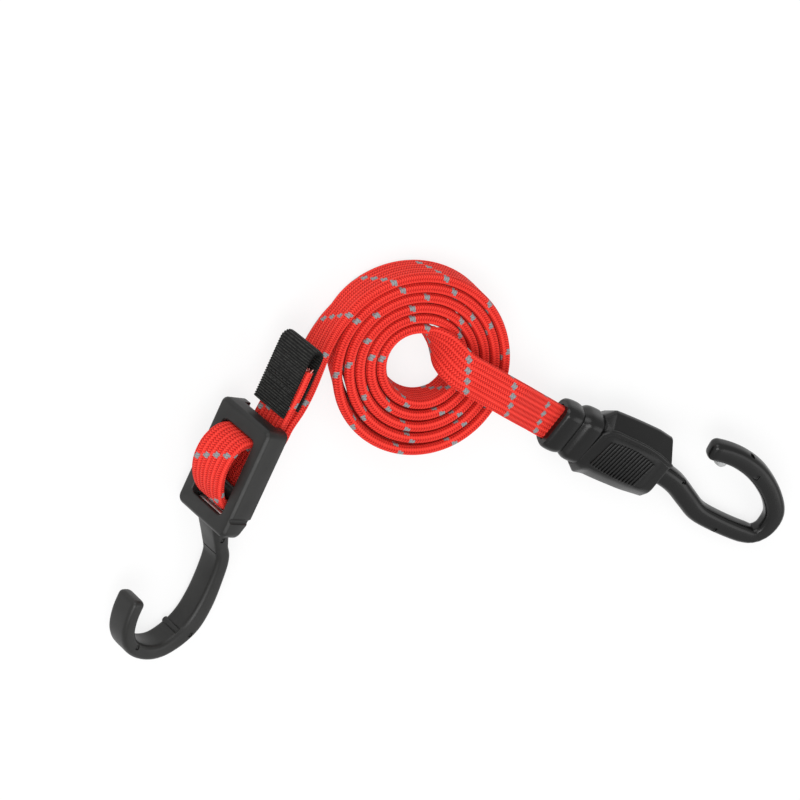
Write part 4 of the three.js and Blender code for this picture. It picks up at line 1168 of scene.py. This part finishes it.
def tab_stitches():
    """Two rows of black thread through the tab and the tail."""
    reach = TAB_OFFSET + TAB_THICKNESS / 2
    pitch = STITCH_SPREAD * TAB_WIDTH / STITCH_COUNT
    places = []
    for row in STITCH_ROWS:
        for number in range(STITCH_COUNT):
            across = (number - (STITCH_COUNT - 1) / 2) * pitch
            places += [((row, across, TAB_MIDDLE + side * reach), (0, 0, 0)) for side in (1, -1)]
    piece = copies_of(block("tab_thread", (0, 0, 0), STITCH_SIZE, STITCH_ROUNDING), places)
    fit(piece, THREAD, "tail", "ribbed_webbing", "tab_stitching")


def frayed_end():
    """Strands that stand out of the tail's cut end."""
    end, height, tilt, side = TAIL_ROUTE[-1]
    places = []
    for number in range(FRAY_COUNT):
        lift, stagger, turn = [sin(wave * number) for wave in FRAY_WAVES]
        across = side + (number / (FRAY_COUNT - 1) - 0.5) * FRAY_SPREAD * STRAP_WIDTH
        at = (end - FRAY_STAGGER * stagger, across, height + FRAY_LIFT * lift)
        places.append((at, (0, FRAY_TILT[0] * lift, FRAY_TILT[1] * turn)))
    piece = copies_of(block("tail_fray", (0, 0, 0), FRAY_SIZE, FRAY_ROUNDING), places)
    fit(piece, LATEX, "tail", "latex_rubber")


pull_tab()
tab_stitches()
frayed_end()


# Stage: a pale floor, soft light and the camera


def pale_floor():
    """A white studio floor, mostly lit by itself for the camera so that only a soft shadow stays."""
    start_fresh()
    bpy.ops.mesh.primitive_plane_add(size=FLOOR_SIZE, location=(0, 0, 0))
    floor_piece = named("floor")
    material, add = new_finish("pale_floor", Base_Color=linear("#F4F4F4"), Roughness=0.9,
                               Specular_IOR_Level=0.1)
    glow = add("Emission", {"Color": (1, 1, 1, 1), "Strength": 1.0})
    path = add("LightPath").outputs
    seen = add("Math", [path["Is Camera Ray"], path["Is Glossy Ray"]], "ADD")
    seen = add("Math", [seen, path["Is Transmission Ray"]], "ADD", use_clamp=True)
    share = add("Math", [seen, FLOOR_GLOW], "MULTIPLY")
    nodes = material.node_tree.nodes
    mix = add("MixShader", [share, nodes["Principled BSDF"], glow])
    material.node_tree.links.new(result_of(mix), nodes["Material Output"].inputs["Surface"])
    floor_piece.data.materials.append(material)


def studio_light():
    world = bpy.data.worlds.new("studio")
    bpy.context.scene.world = world
    world.use_nodes = True
    background = world.node_tree.nodes["Background"]
    background.inputs["Color"].default_value = (1, 1, 1, 1)
    add = partial(add_node, background)
    path = add("LightPath").outputs
    seen = add("Math", [path["Is Camera Ray"], path["Is Transmission Ray"]], "ADD", use_clamp=True)
    add("MapRange", [seen, 0.0, 1.0, WORLD_LIGHT, 1.0], to="Strength")
    for name, (place, power) in LAMPS.items():
        start_fresh()
        bpy.ops.object.light_add(type="AREA", location=place)
        lamp = bpy.context.object
        lamp.name = name
        lamp.data.size = LAMP_SIZE
        lamp.data.energy = power
        aim = CAMERA_TARGET * MM - Vector(place)
        lamp.rotation_euler = aim.to_track_quat("-Z", "Y").to_euler()


def photo_camera():
    start_fresh()
    bpy.ops.object.camera_add()
    camera = bpy.context.object
    camera.data.lens = CAMERA_LENS
    camera.data.sensor_width = CAMERA_SENSOR
    elevation = radians(CAMERA_ELEVATION)
    back = Vector((0, -cos(elevation), sin(elevation)))
    camera.location = (CAMERA_TARGET + back * CAMERA_DISTANCE) * MM
    camera.rotation_mode = "ZYX"
    camera.rotation_euler = (pi / 2 - elevation, 0, radians(CAMERA_ROLL))
    bpy.context.scene.camera = camera


pale_floor()
studio_light()
photo_camera()
bpy.context.scene.view_settings.view_transform = "Standard"
